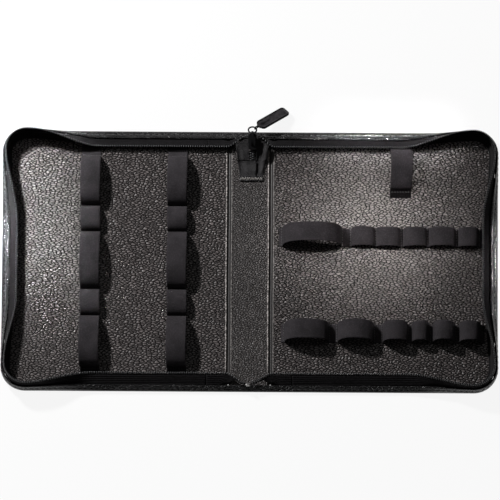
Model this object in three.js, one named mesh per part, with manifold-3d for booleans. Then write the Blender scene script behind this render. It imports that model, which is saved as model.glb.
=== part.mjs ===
// Soft zip-round tool case, lying open: two padded halves joined by a spine.
// Millimetres, +Z up, +X to the right-hand half, +Y to the end that carries the zip slider.
import * as THREE from 'three';
import { mergeVertices } from 'three/addons/utils/BufferGeometryUtils.js';
import Module from 'manifold-3d';

const wasm = await Module();
wasm.setup();

// Whole case
const OPEN_LENGTH = 497;
const CASE_WIDTH = 274.5;
const CORNER_R = 25;
const SPINE_WIDTH = 42;
const HINGE_X = SPINE_WIDTH / 2;
const HINGE_Z = 0.5;
const FOLD_GAP = 0.3;
const HALF_X = OPEN_LENGTH / 2;
const HALF_Y = CASE_WIDTH / 2;

// Panel layers, from the underside up
const COVER_T = 1.0;
const BOARD_T = 1.2;
const LINING_T = 0.8;
const LINING_TOP = COVER_T + BOARD_T + LINING_T;
const COVER_INSET = 3.9;
const BOARD_INSET = 5.6;
const LINING_INSET = 7;
const FOLD_CLEAR = 0.35;
const CREASE = { low: 0.9, top: LINING_TOP - 0.7, clear: 0.2 };

// Wall that carries the zip: leans in along the sides, stands up at the corners
const WALL_SLANT = 21;
const WALL_BASE = { n: 0.8, z: 0.9 };
const LEATHER_T = 1.4;
const LEATHER_TOP = 0.5;
const ROLL_PUFF = 0.62;
const EDGE_PUFF = 0.2;
const STITCH_GROOVE = 0.45;
const TAPE_T = 0.7;
const TAPE_FROM = 0.45;
const TAPE_TO = 0.9;
const TEETH_TO = 0.985;
const LAYER_GAP = 0.3;
const TOOTH_PITCH = 3;
const TOOTH_T = 2.4;
const TOOTH_WAIST = 1.5;
const LEAN = { north: 19, south: 19, side: 15.2, corner: 5 };
const BOW = { north: 0.1, south: 0.8, side: 0.1, corner: 0.3 };
const LEAN_RUN = 72;
const WALL_STEP = 15;
const ZIP_START = 22;

// Inner fabric facing that covers the foot of the wall
const FACING_T = 0.6;
const FACING_TO = 0.5;
const FACING_FOOT = { corner: [9.6, 7.2], side: [15, 11.8] };

// Elastic bands
const BAND_WIDTH = 20;
const BAND_T = 1.0;
const SEAM = 1.4;
const ARCH = { steps: 9, across: 0.88, up: 0.82 };

// Zip slider, its ring and its pull tab
const SLIDER = { x: 1.75, y: HALF_Y - 14.2, z: 12, tilt: 20, length: 16, width: 8.5, height: 4.8 };
const SLIDER_PLATE = 0.9;
const SLIDER_FLANGE = { t: 0.7, inset: 0.3, back: 10, slot: 1.3, lap: 0.1 };
const SLIDER_POST = { r: 1.3, fromNose: 3.2 };
const CHAIN = { width: 5.8, t: 2.2, from: 2.4, to: -21 };
const RING = { r: 4.1, wire: 0.6, hookY: 8.55, hookZ: 1.5, dip: 25, hookAt: 40.7 };
const BAIL = { width: 2.2, t: 0.7, foot: 4.6, sink: 0.4, bend: 1.4 };
const LINK = { r: 1.6, wire: 0.42, shank: 1.5, shankR: 0.75, play: 0.12 };
const TAB = { length: 37, width: 11.4, t: 2.4, round: 4, bevel: 0.5, heading: 37.4, drop: 19 };
const TAB_NECK = { width: 4.6, length: 3.2, clear: 0.1, flare: 3 };

const rad = (deg) => (deg * Math.PI) / 180;
const mix = (a, b, k) => a + (b - a) * k;
const ease = (k) => {
  const c = Math.min(1, Math.max(0, k));
  return c * c * (3 - 2 * c);
};

const LOOKS = {
  leather: { color: 0x1b1b1d, roughness: 0.42, metalness: 0 },
  board: { color: 0x6f675c, roughness: 0.9, metalness: 0 },
  lining: { color: 0x2c2927, roughness: 0.5, metalness: 0 },
  fabric: { color: 0x17171a, roughness: 0.85, metalness: 0 },
  elastic: { color: 0x222023, roughness: 0.8, metalness: 0 },
  teeth: { color: 0x26262b, roughness: 0.5, metalness: 0 },
  blackMetal: { color: 0x1a1a1c, roughness: 0.35, metalness: 0.8 },
  steel: { color: 0x9a9a9c, roughness: 0.3, metalness: 0.9 },
  pull: { color: 0x2e2e31, roughness: 0.55, metalness: 0 },
};

const tool_case = new THREE.Group();
tool_case.name = 'tool_case';

function add(name, geometry, look) {
  geometry.computeVertexNormals();
  const mesh = new THREE.Mesh(geometry, new THREE.MeshStandardMaterial(LOOKS[look]));
  mesh.name = name;
  tool_case.add(mesh);
}

// Closed surface from points and triangles, turned so that its faces point out
function surface(points, faces) {
  const p = points.map(([x, y, z]) => new THREE.Vector3(x, y, z));
  let volume = 0;
  for (const [a, b, c] of faces) volume += p[a].dot(p[b].clone().cross(p[c]));
  const index = volume < 0 ? faces.flatMap(([a, b, c]) => [a, c, b]) : faces.flat();
  const geometry = new THREE.BufferGeometry();
  geometry.setAttribute('position', new THREE.Float32BufferAttribute(points.flat(), 3));
  geometry.setIndex(index);
  return geometry;
}

// Strip swept through cross-sections; each section is a list of [outer, inner] point pairs
function ribbon(sections) {
  const pairs = sections[0].length;
  const ring = 2 * pairs;
  const points = [];
  const faces = [];
  for (const section of sections) {
    for (const [outer] of section) points.push(outer);
    for (const [, inner] of [...section].reverse()) points.push(inner);
  }
  const quad = (a, b, c, d) => faces.push([a, b, c], [a, c, d]);
  for (let s = 0; s + 1 < sections.length; s++) {
    for (let k = 0; k < ring; k++) {
      const next = (k + 1) % ring;
      quad(s * ring + k, s * ring + next, (s + 1) * ring + next, (s + 1) * ring + k);
    }
  }
  const last = (sections.length - 1) * ring;
  for (let k = 0; k + 1 < pairs; k++) {
    const across = ring - 1 - k;
    quad(k, across, across - 1, k + 1);
    quad(last + k, last + k + 1, last + across - 1, last + across);
  }
  return surface(points, faces);
}

// Flat layer between two outlines that have the same number of corners
function slab(lower, upper, z0, z1) {
  const count = lower.length;
  const points = [...lower.map(([x, y]) => [x, y, z0]), ...upper.map(([x, y]) => [x, y, z1])];
  const faces = [];
  const flat = lower.map(([x, y]) => new THREE.Vector2(x, y));
  const caps = THREE.ShapeUtils.triangulateShape(flat, []);
  for (const [a, b, c] of caps) faces.push([a, c, b], [a + count, b + count, c + count]);
  for (let k = 0; k < count; k++) {
    const next = (k + 1) % count;
    faces.push([k, next, next + count], [k, next + count, k + count]);
  }
  return surface(points, faces);
}

function toManifold(geometry) {
  const clean = geometry.clone();
  clean.deleteAttribute('normal');
  clean.deleteAttribute('uv');
  const merged = mergeVertices(clean, 1e-5);
  return new wasm.Manifold(
    new wasm.Mesh({
      numProp: 3,
      vertProperties: new Float32Array(merged.attributes.position.array),
      triVerts: new Uint32Array(merged.index.array),
    }),
  );
}

function fromManifold(solid) {
  const mesh = solid.getMesh();
  const geometry = new THREE.BufferGeometry();
  geometry.setAttribute('position', new THREE.BufferAttribute(mesh.vertProperties, 3));
  geometry.setIndex(new THREE.BufferAttribute(mesh.triVerts, 1));
  return geometry;
}

// Where the folding edge of a layer stands at height z, measured from the hinge line
const foldBack = (z) => FOLD_GAP + Math.abs(z - HINGE_Z);

// Outline of one half's layer at height z, with its folding edge cut back for the hinge
function halfOutline(side, inset, z) {
  const r = CORNER_R - inset;
  const cx = HALF_X - CORNER_R;
  const cy = HALF_Y - CORNER_R;
  const points = [[side * (HINGE_X + foldBack(z)), HALF_Y - inset]];
  for (const [way, from] of [[1, 90], [-1, 0]]) {
    for (let k = 0; k <= 6; k++) {
      const a = rad(from - k * 15);
      points.push([side * (cx + r * Math.cos(a)), way * cy + r * Math.sin(a)]);
    }
  }
  points.push([side * (HINGE_X + foldBack(z)), inset - HALF_Y]);
  return side > 0 ? points.reverse() : points;
}

function halfLayer(side, inset, z0, z1) {
  return slab(halfOutline(side, inset, z0), halfOutline(side, inset, z1), z0, z1);
}

function spineLayer(inset, z0, z1) {
  const outline = (z) => {
    const x = HINGE_X - foldBack(z);
    const y = HALF_Y - inset;
    return [[-x, -y], [x, -y], [x, y], [-x, y]];
  };
  return slab(outline(z0), outline(z1), z0, z1);
}

// Height of the zip's edge where the wall leans in by this much
const riseFor = (lean) => Math.sqrt(WALL_SLANT ** 2 - (lean - WALL_BASE.n) ** 2);

// Stations round one half, from the spine's slider end to its other end
const SIDE_RUN = HALF_X - CORNER_R - HINGE_X;
const ARC_RUN = (Math.PI / 2) * CORNER_R;
const END_RUN = CASE_WIDTH - 2 * CORNER_R;
const HALF_RUN = 2 * SIDE_RUN + 2 * ARC_RUN + END_RUN;

function station(side, s) {
  const cx = HALF_X - CORNER_R;
  const cy = HALF_Y - CORNER_R;
  const back = HALF_RUN - s;
  const make = (x, y, mx, my, lean, bow) => ({
    x: side * x, y, mx: side * mx, my, lean, rise: riseFor(lean), bow,
  });
  const leanAt = (lean, k) => mix(LEAN.corner, lean, k);
  if (s <= SIDE_RUN || back <= SIDE_RUN) {
    const north = s <= SIDE_RUN;
    const run = north ? s : back;
    const k = ease((SIDE_RUN - run) / LEAN_RUN);
    const lean = north ? LEAN.north : LEAN.south;
    const bow = mix(BOW.corner, north ? BOW.north : BOW.south, k);
    return make(HINGE_X + run, north ? HALF_Y : -HALF_Y, 0, north ? -1 : 1, leanAt(lean, k), bow);
  }
  const fromEnd = Math.min(s, back) - SIDE_RUN - ARC_RUN;
  if (fromEnd >= 0) {
    const k = ease(fromEnd / LEAN_RUN);
    const y = cy - (s - SIDE_RUN - ARC_RUN);
    return make(HALF_X, y, -1, 0, leanAt(LEAN.side, k), mix(BOW.corner, BOW.side, k));
  }
  const way = s < HALF_RUN / 2 ? 1 : -1;
  const a = ((Math.min(s, back) - SIDE_RUN) / ARC_RUN) * (Math.PI / 2);
  const [ox, oy] = [Math.sin(a), way * Math.cos(a)];
  return make(cx + CORNER_R * ox, way * cy + CORNER_R * oy, -ox, -oy, LEAN.corner, BOW.corner);
}

// Point t of the way up the wall, moved out along its normal; foot at t = 0, zip's edge at t = 1
function wallPoint(at, t, out) {
  const q = 1 - t;
  const cn = mix((WALL_BASE.n + at.lean) / 2, 0.6, at.bow);
  const cz = mix((WALL_BASE.z + at.rise) / 2, 0.55 * at.rise, at.bow);
  const n = WALL_BASE.n * q * q + 2 * cn * q * t + at.lean * t * t;
  const z = WALL_BASE.z * q * q + 2 * cz * q * t + at.rise * t * t;
  const dn = (cn - WALL_BASE.n) * q + (at.lean - cn) * t;
  const dz = (cz - WALL_BASE.z) * q + (at.rise - cz) * t;
  const size = Math.hypot(dn, dz);
  return { n: n - (dz / size) * out, z: z + (dn / size) * out };
}

function place(at, { n, z }) {
  return [at.x + at.mx * n, at.y + at.my * n, z];
}

// Distances along one half's wall: one every step on the straights, closer in the corners
function halfSteps(start, step) {
  const marks = [start];
  const straight = (from, to) => {
    const count = Math.max(1, Math.round((to - from) / step));
    for (let k = 1; k <= count; k++) marks.push(mix(from, to, k / count));
  };
  const arc = (from) => {
    for (let k = 1; k <= 5; k++) marks.push(from + (ARC_RUN * k) / 5);
  };
  straight(start, SIDE_RUN);
  arc(SIDE_RUN);
  straight(SIDE_RUN + ARC_RUN, SIDE_RUN + ARC_RUN + END_RUN);
  arc(SIDE_RUN + ARC_RUN + END_RUN);
  straight(HALF_RUN - SIDE_RUN, HALF_RUN - start);
  return marks;
}

// Strip round one half; profile(at) gives its [outer, inner] pairs, and its ends are cut to the fold
function wallStrip(side, start, step, profile) {
  const marks = halfSteps(start, step);
  return ribbon(
    marks.map((s, k) => {
      const at = station(side, s);
      const section = profile(at, k).map((pair) => pair.map((p) => place(at, p)));
      if (k === 0 || k === marks.length - 1) {
        for (const p of section.flat()) {
          p[0] = side * Math.max(Math.abs(p[0]), HINGE_X + foldBack(p[2]));
        }
      }
      return section;
    }),
  );
}

// Leather strip of the wall: two soft rolls with the stitch groove between them
const LEATHER_SHAPE = [
  [0, 0.35], [0.14, ROLL_PUFF], [0.27, ROLL_PUFF - STITCH_GROOVE], [0.38, ROLL_PUFF],
  [LEATHER_TOP, EDGE_PUFF],
];
const leatherProfile = (at) =>
  LEATHER_SHAPE.map(([t, puff]) => [wallPoint(at, t, puff), wallPoint(at, t, puff - LEATHER_T)]);

const TAPE_OUT = EDGE_PUFF - LEATHER_T - LAYER_GAP;
const tapeProfile = (at) =>
  [TAPE_FROM, mix(TAPE_FROM, TAPE_TO, 0.5), TAPE_TO].map((t) => [
    wallPoint(at, t, TAPE_OUT),
    wallPoint(at, t, TAPE_OUT - TAPE_T),
  ]);

// Zip teeth: the section swells and narrows once every pitch
function teethProfile(at, k) {
  const half = (k % 2 ? TOOTH_WAIST : TOOTH_T) / 2;
  const mid = TAPE_OUT - TAPE_T / 2;
  const top = k % 2 ? TEETH_TO - 0.02 : TEETH_TO;
  return [TAPE_TO + 0.012, top].map((t) => [wallPoint(at, t, mid + half), wallPoint(at, t, mid - half)]);
}

// Facing: a foot on the lining, then up the inside of the wall
function facingProfile(at) {
  const lean = (at.lean - LEAN.corner) / (LEAN.north - LEAN.corner);
  const foot = FACING_FOOT.corner.map((n, k) => mix(n, FACING_FOOT.side[k], lean));
  const top = wallPoint(at, FACING_TO, TAPE_OUT - TAPE_T - LAYER_GAP);
  return [
    [{ n: foot[0], z: LINING_TOP }, { n: foot[0], z: LINING_TOP + FACING_T }],
    [{ n: foot[1], z: LINING_TOP }, { n: foot[1] + FACING_T, z: LINING_TOP + FACING_T }],
    [top, { n: top.n + FACING_T, z: top.z }],
  ];
}

// Loops along a band, from [gap before it, width, height] of each, fitted between two ends
function loopsBetween(from, to, loops) {
  const total = loops.reduce((sum, [gap, width]) => sum + gap + width, 0);
  const share = (to - from) / total;
  let at = from;
  return loops.map(([gap, width, height]) => {
    const x0 = at + gap * share;
    at = x0 + width * share;
    return { x0, x1: at, height };
  });
}

// Path of a band over its loops: flat on the lining at each seam, a squared arch for each loop
function bandPath(start, end, arches) {
  const low = LINING_TOP + BAND_T / 2;
  const path = [[start, low]];
  for (const { x0, x1, height } of arches) {
    const way = Math.sign(x1 - x0);
    const half = Math.abs(x1 - x0) / 2 - SEAM / 2;
    const mid = (x0 + x1) / 2;
    const lift = height - BAND_T;
    for (let k = 0; k <= ARCH.steps; k++) {
      const a = Math.PI * (1 - k / ARCH.steps);
      const across = Math.sign(Math.cos(a)) * Math.abs(Math.cos(a)) ** ARCH.across;
      const up = k === 0 || k === ARCH.steps ? 0 : Math.sin(a) ** ARCH.up;
      path.push([mid + way * half * across, low + lift * up]);
    }
  }
  path.push([end, low]);
  return path;
}

// Band swept along a path of [along, z]; put(along, across, z) sets it on the X or the Y axis
function band(path, width, put) {
  const spread = (k) => {
    const before = path[Math.max(0, k - 1)];
    const after = path[Math.min(path.length - 1, k + 1)];
    const size = Math.hypot(after[0] - before[0], after[1] - before[1]);
    return [-(after[1] - before[1]) / size, (after[0] - before[0]) / size];
  };
  const sections = path.map(([a, z], k) => {
    const flat = Math.abs(z - LINING_TOP - BAND_T / 2) < 1e-6;
    const [na, nz] = flat ? [0, Math.sign(path[path.length - 1][0] - path[0][0])] : spread(k);
    const half = BAND_T / 2;
    return [-1, 1].map((way) => [
      put(a + na * half, (way * width) / 2, z + nz * half),
      put(a - na * half, (way * width) / 2, z - nz * half),
    ]);
  });
  return ribbon(sections);
}

// The left half's upright bands, loops from the slider end down
const BAND_REACH = { from: HALF_Y - 24.5, to: 23.75 - HALF_Y, tuck: 7.5, tail: 4 };
const UPRIGHT_LOOPS = [[3.75, 52.5, 15], [0, 27, 9.5], [0, 60.5, 15.5], [0, 28, 9.5], [0, 54.5, 16]];
const uprightArches = loopsBetween(BAND_REACH.from, BAND_REACH.to, UPRIGHT_LOOPS);
const OUTER_BAND_X = -0.641 * HALF_X;
const INNER_BAND_X = -0.2926 * HALF_X;

function uprightBand(x) {
  const path = bandPath(BAND_REACH.from + BAND_REACH.tuck, BAND_REACH.to - BAND_REACH.tail, uprightArches);
  return band(path, BAND_WIDTH, (a, across, z) => [x + across, a, z]);
}

// The right half's two rows, loops from the spine outwards
const UPPER_ROW_Y = 0.181 * HALF_Y;
const LOWER_ROW_Y = -0.552 * HALF_Y;
const ROW_FROM = HINGE_X + 11;
const ROW_TO = { upper: HALF_X - 19.5, lower: HALF_X - 17 };
const ROW_TAIL = 3;
const UPPER_ROW = loopsBetween(ROW_FROM, ROW_TO.upper, [
  [0, 60, 19], [9, 24, 6.8], [1, 24.5, 6.8], [2.5, 24, 6.8], [1.5, 27.5, 7.2], [2, 21, 7.2],
]);
const LOWER_ROW = loopsBetween(ROW_FROM, ROW_TO.lower, [
  [2.5, 45, 15.5], [8, 37, 15], [8.3, 25.7, 13.5], [3, 18.5, 11.5], [2.5, 23, 13.5], [3.5, 22.5, 13.5],
]);

function rowBand(y, arches) {
  const path = bandPath(arches[0].x0 - ROW_TAIL, arches[arches.length - 1].x1 + ROW_TAIL, arches);
  return band(path, BAND_WIDTH, (a, across, z) => [a, y + across, z]);
}

// The single loop by the slider-side wall: one wider strip sewn down at both of its ends
const SINGLE = { x: 0.6045 * HALF_X, from: HALF_Y - 18, to: HALF_Y - 62.5, height: 8.5, width: 22 };
const SINGLE_TAIL = { wall: 1.5, free: 7.5 };
function singleLoop() {
  const arch = { x0: SINGLE.from, x1: SINGLE.to, height: SINGLE.height };
  const path = bandPath(SINGLE.from + SINGLE_TAIL.wall, SINGLE.to - SINGLE_TAIL.free, [arch]);
  return band(path, SINGLE.width, (a, across, z) => [SINGLE.x + across, a, z]);
}

// Layers and walls of both halves
for (const [half, side] of [['right', 1], ['left', -1]]) {
  add(`${half}_cover`, halfLayer(side, COVER_INSET, 0, COVER_T), 'leather');
  add(`${half}_board`, halfLayer(side, BOARD_INSET, COVER_T, COVER_T + BOARD_T), 'board');
  add(`${half}_lining`, halfLayer(side, LINING_INSET, COVER_T + BOARD_T, LINING_TOP), 'lining');
  add(`${half}_wall`, wallStrip(side, 0, WALL_STEP, leatherProfile), 'leather');
  add(`${half}_wall_facing`, wallStrip(side, 0, WALL_STEP, facingProfile), 'fabric');
  add(`${half}_zip_tape`, wallStrip(side, ZIP_START, WALL_STEP, tapeProfile), 'fabric');
  add(`${half}_zip_teeth`, wallStrip(side, ZIP_START, TOOTH_PITCH / 2, teethProfile), 'teeth');
}
add('outer_loop_band', uprightBand(OUTER_BAND_X), 'elastic');
add('inner_loop_band', uprightBand(INNER_BAND_X), 'elastic');
add('upper_loop_row', rowBand(UPPER_ROW_Y, UPPER_ROW), 'elastic');
add('lower_loop_row', rowBand(LOWER_ROW_Y, LOWER_ROW), 'elastic');
add('single_loop', singleLoop(), 'elastic');

// Spine layers, and the low leather strips that close its two ends
add('spine_cover', spineLayer(COVER_INSET, 0, COVER_T), 'leather');
add('spine_board', spineLayer(BOARD_INSET, COVER_T, COVER_T + BOARD_T), 'board');
add('spine_lining', spineLayer(LINING_INSET, COVER_T + BOARD_T, LINING_TOP), 'lining');

// Wall station on the spine's own end, way = 1 at the slider end and -1 at the other
function spineStation(x, way, lean, rise) {
  return { x, y: way * HALF_Y, mx: 0, my: -way, lean, rise, bow: way > 0 ? BOW.north : BOW.south };
}
const endLean = { 1: LEAN.north, '-1': LEAN.south };

function spineStrip(way) {
  const rise = riseFor(endLean[way]);
  return ribbon(
    [-1, 0, 1].map((end) => {
      const at = spineStation(0, way, endLean[way], rise);
      return leatherProfile(at).map((pair) =>
        pair.map((p) => {
          const [, y, z] = place(at, p);
          return [end * (HINGE_X - foldBack(z)), y, z];
        }),
      );
    }),
  );
}
add('spine_slider_end_strip', spineStrip(1), 'leather');
add('spine_far_end_strip', spineStrip(-1), 'leather');

// Crease strips: lining pressed down into the two fold grooves
function crease(side) {
  const y = HALF_Y - LINING_INSET;
  const outline = (z) => {
    const half = foldBack(z) - CREASE.clear;
    const x = side * HINGE_X;
    return [[x - half, -y], [x + half, -y], [x + half, y], [x - half, y]];
  };
  return slab(outline(CREASE.low), outline(CREASE.top), CREASE.low, CREASE.top);
}
add('right_crease', crease(1), 'lining');
add('left_crease', crease(-1), 'lining');

// Leather pleat between the spine's strip and a half's wall, one in each notch of the fold
const PLEAT_FROM = 0.2;
function pleat(side, way) {
  const at = spineStation(0, way, endLean[way], riseFor(endLean[way]));
  const shape = [PLEAT_FROM, mix(PLEAT_FROM, LEATHER_TOP, 0.5), LEATHER_TOP];
  return ribbon(
    [-1, 0, 1].map((end) =>
      shape.map((t) =>
        [EDGE_PUFF, EDGE_PUFF - LEATHER_T].map((out) => {
          const [, y, z] = place(at, wallPoint(at, t, out));
          return [side * HINGE_X + end * (foldBack(z) - FOLD_CLEAR), y, z];
        }),
      ),
    ),
  );
}

// Zip end between a half and the slider or the end stop: tape with its teeth, curving down to meet it
const ZIP_TURN = { from: HINGE_X + 3, trim: HINGE_X + 9, trimRun: 6, rise: 2, clear: 0.6 };
const ZIP_END = {
  1: { x: 4.6, centre: SLIDER.x, lean: 9.4, rise: 14.2, low: 0.58 },
  '-1': { x: 2.4, centre: -1.4, lean: 8.2, rise: 9.6, low: 0.84 },
};
function zipEnd(side, way) {
  const far = HINGE_X + ZIP_START - ZIP_TURN.clear;
  const goal = ZIP_END[way];
  const near = goal.x + side * goal.centre;
  const count = Math.round((far - near) / (TOOTH_PITCH / 2));
  const sections = [];
  for (let k = 0; k <= count; k++) {
    const x = mix(far, near, k / count);
    const turn = ease((ZIP_TURN.from - x) / (ZIP_TURN.from - near));
    const lean = mix(endLean[way], goal.lean, turn);
    const rise = mix(riseFor(endLean[way]), goal.rise, turn);
    const at = spineStation(side * x, way, lean, rise);
    const trim = ease((ZIP_TURN.trim - x) / ZIP_TURN.trimRun);
    const low = mix(mix(TAPE_FROM, LEATHER_TOP + 0.08, trim), goal.low, ease(2 * turn));
    const half = (k % 2 ? TOOTH_WAIST : TOOTH_T) / 2;
    const mid = TAPE_OUT - TAPE_T / 2 + ZIP_TURN.rise * turn;
    const pair = (t, h) => [place(at, wallPoint(at, t, mid + h)), place(at, wallPoint(at, t, mid - h))];
    sections.push([
      pair(low, TAPE_T / 2), pair(TAPE_TO - 0.03, TAPE_T / 2), pair(TAPE_TO, half), pair(TEETH_TO, half),
    ]);
  }
  return ribbon(sections);
}
for (const [half, side] of [['right', 1], ['left', -1]]) {
  for (const [end, way] of [['slider_end', 1], ['far_end', -1]]) {
    add(`${half}_${end}_pleat`, pleat(side, way), 'leather');
    add(`${half}_${end}_zip_run`, zipEnd(side, way), 'fabric');
  }
}

// Frame of the slider: y along the zip chain, z off its face
const sliderFrame = new THREE.Matrix4()
  .makeTranslation(SLIDER.x, SLIDER.y, SLIDER.z)
  .multiply(new THREE.Matrix4().makeRotationX(rad(SLIDER.tilt)));

function sliderPlate(z0) {
  const w = SLIDER.width / 2;
  const l = SLIDER.length / 2;
  const shape = new THREE.Shape();
  shape.moveTo(-w + 1, -l);
  shape.lineTo(w - 1, -l);
  shape.quadraticCurveTo(w - 0.4, -l, w - 0.4, -l + 1);
  shape.lineTo(w, l - 5);
  shape.quadraticCurveTo(w, l, w - 3, l);
  shape.lineTo(-w + 3, l);
  shape.quadraticCurveTo(-w, l, -w, l - 5);
  shape.lineTo(-w + 0.4, -l + 1);
  shape.quadraticCurveTo(-w + 0.4, -l, -w + 1, -l);
  const cut = { depth: SLIDER_PLATE, bevelEnabled: false, curveSegments: 4 };
  const plate = new THREE.ExtrudeGeometry(shape, cut);
  plate.translate(0, 0, z0);
  return toManifold(plate);
}

function box(x0, x1, y0, y1, z0, z1) {
  const geometry = new THREE.BoxGeometry(x1 - x0, y1 - y0, z1 - z0);
  geometry.translate((x0 + x1) / 2, (y0 + y1) / 2, (z0 + z1) / 2);
  return toManifold(geometry);
}

// Bail: a strap over the slider's top that holds the ring at its nose
function bail() {
  const top = SLIDER.height / 2;
  const y = RING.hookY;
  const z = top + RING.hookZ;
  const path = [
    [-BAIL.foot, top - BAIL.sink], [1.2 - BAIL.foot, top + 1.5], [3.6 - BAIL.foot, z + 1.3],
    [y - 0.6, z + BAIL.bend], [y + 1.3, z + 0.7], [y + 1.5, z - 0.5],
    [y + 0.6, z - BAIL.bend], [y - BAIL.bend, top - BAIL.sink],
  ];
  const normal = (k) => {
    const a = path[Math.max(0, k - 1)];
    const b = path[Math.min(path.length - 1, k + 1)];
    const size = Math.hypot(b[0] - a[0], b[1] - a[1]);
    return [-(b[1] - a[1]) / size, (b[0] - a[0]) / size];
  };
  const sections = path.map(([a, c], k) => {
    const [ny, nz] = normal(k);
    const h = BAIL.t / 2;
    return [-1, 1].map((way) => [
      [(way * BAIL.width) / 2, a + ny * h, c + nz * h],
      [(way * BAIL.width) / 2, a - ny * h, c - nz * h],
    ]);
  });
  return toManifold(ribbon(sections));
}

function sliderBody() {
  const h = SLIDER.height / 2;
  const w = SLIDER.width / 2;
  const l = SLIDER.length / 2;
  let body = sliderPlate(h - SLIDER_PLATE).add(sliderPlate(-h));
  const post = new THREE.CylinderGeometry(SLIDER_POST.r, SLIDER_POST.r, SLIDER.height - SLIDER_PLATE, 8);
  post.rotateX(Math.PI / 2);
  post.translate(0, l - SLIDER_POST.fromNose, 0);
  body = body.add(toManifold(post));
  for (const side of [-1, 1]) {
    const outer = side * (w - SLIDER_FLANGE.inset);
    const inner = outer - side * SLIDER_FLANGE.t;
    const [x0, x1] = [Math.min(outer, inner), Math.max(outer, inner)];
    for (const face of [-1, 1]) {
      const reach = h - SLIDER_PLATE + SLIDER_FLANGE.lap;
      const z = [(face * SLIDER_FLANGE.slot) / 2, face * reach].sort((a, b) => a - b);
      body = body.add(box(x0, x1, 1 - l, SLIDER_FLANGE.back - l, z[0], z[1]));
    }
  }
  return fromManifold(body.add(bail())).applyMatrix4(sliderFrame);
}
add('zip_slider', sliderBody(), 'blackMetal');

// Closed zip chain that hangs from the slider down to the tail's tack
function chain() {
  const count = Math.round((CHAIN.from - CHAIN.to) / (TOOTH_PITCH / 2));
  const sections = [];
  for (let k = 0; k <= count; k++) {
    const y = mix(CHAIN.from, CHAIN.to, k / count);
    const w = CHAIN.width / 2 - (k % 2 ? 0.7 : 0);
    const h = CHAIN.t / 2 - (k % 2 ? 0.3 : 0);
    sections.push([
      [[-w, y, h * 0.5], [-w, y, -h * 0.5]],
      [[0, y, h], [0, y, -h]],
      [[w, y, h * 0.5], [w, y, -h * 0.5]],
    ]);
  }
  return ribbon(sections).applyMatrix4(sliderFrame);
}
add('tail_zip_chain', chain(), 'teeth');

// Fabric tail: two tapes beside the chain that join below it and lie down on the spine
const TAIL = { t: 0.7, slot: CHAIN.width / 2 + 0.4, top: 2, landing: HALF_Y - 41, foot: HALF_Y - 53 };
const TAIL_LIFT = 0.1;
const TAIL_SHOULDER = -3;
const TAIL_HALF = { neck: 6.4, shoulder: 16.4, waist: 15.4, low: 13, landing: 12, foot: 11 };
function tail() {
  const low = LINING_TOP + TAIL_LIFT + TAIL.t / 2;
  const chainAt = (y) => new THREE.Vector3(0, y, 0).applyMatrix4(sliderFrame);
  const path = [];
  const half = [];
  const back = -SLIDER.length / 2;
  const upper = [
    [TAIL.top, TAIL_HALF.neck], [TAIL_SHOULDER, TAIL_HALF.shoulder], [back - 3, TAIL_HALF.waist],
    [CHAIN.to - 0.6, TAIL_HALF.low],
  ];
  for (const [y, w] of upper) {
    const p = chainAt(y);
    path.push([p.y, p.z]);
    half.push(w);
  }
  const lower = [
    [TAIL.landing + 2.6, low + 0.3, TAIL_HALF.landing + 0.4], [TAIL.landing, low, TAIL_HALF.landing],
    [TAIL.foot, low, TAIL_HALF.foot],
  ];
  for (const [y, z, w] of lower) {
    path.push([y, z]);
    half.push(w);
  }
  const slotEnd = upper.length;
  const columns = (k) => [-half[k], -TAIL.slot, TAIL.slot, half[k]];
  const normal = (k) => {
    const a = path[Math.max(0, k - 1)];
    const b = path[Math.min(path.length - 1, k + 1)];
    const size = Math.hypot(b[0] - a[0], b[1] - a[1]);
    return [(b[1] - a[1]) / size, -(b[0] - a[0]) / size];
  };
  const points = [];
  for (let k = 0; k < path.length; k++) {
    const [ny, nz] = k >= path.length - 2 ? [0, 1] : normal(k);
    for (const face of [1, -1]) {
      const h = (face * TAIL.t) / 2;
      const middle = k < slotEnd ? SLIDER.x : SLIDER.x / 2;
      for (const x of columns(k)) points.push([middle + x, path[k][0] + ny * h, path[k][1] + nz * h]);
    }
  }
  const id = (k, face, c) => k * 8 + face * 4 + c;
  const solid = (k, c) => k >= 0 && k < path.length - 1 && c >= 0 && c < 3 && !(c === 1 && k < slotEnd - 1);
  const faces = [];
  const quad = (a, b, c, d) => faces.push([a, b, c], [a, c, d]);
  for (let k = 0; k < path.length - 1; k++) {
    for (let c = 0; c < 3; c++) {
      if (!solid(k, c)) continue;
      quad(id(k, 0, c), id(k, 0, c + 1), id(k + 1, 0, c + 1), id(k + 1, 0, c));
      quad(id(k, 1, c + 1), id(k, 1, c), id(k + 1, 1, c), id(k + 1, 1, c + 1));
      if (!solid(k, c - 1)) quad(id(k, 1, c), id(k, 0, c), id(k + 1, 0, c), id(k + 1, 1, c));
      if (!solid(k, c + 1)) quad(id(k, 0, c + 1), id(k, 1, c + 1), id(k + 1, 1, c + 1), id(k + 1, 0, c + 1));
      if (!solid(k - 1, c)) quad(id(k, 1, c), id(k, 1, c + 1), id(k, 0, c + 1), id(k, 0, c));
      if (!solid(k + 1, c)) quad(id(k + 1, 0, c), id(k + 1, 0, c + 1), id(k + 1, 1, c + 1), id(k + 1, 1, c));
    }
  }
  return surface(points, faces);
}
add('zip_tail', tail(), 'fabric');

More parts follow.
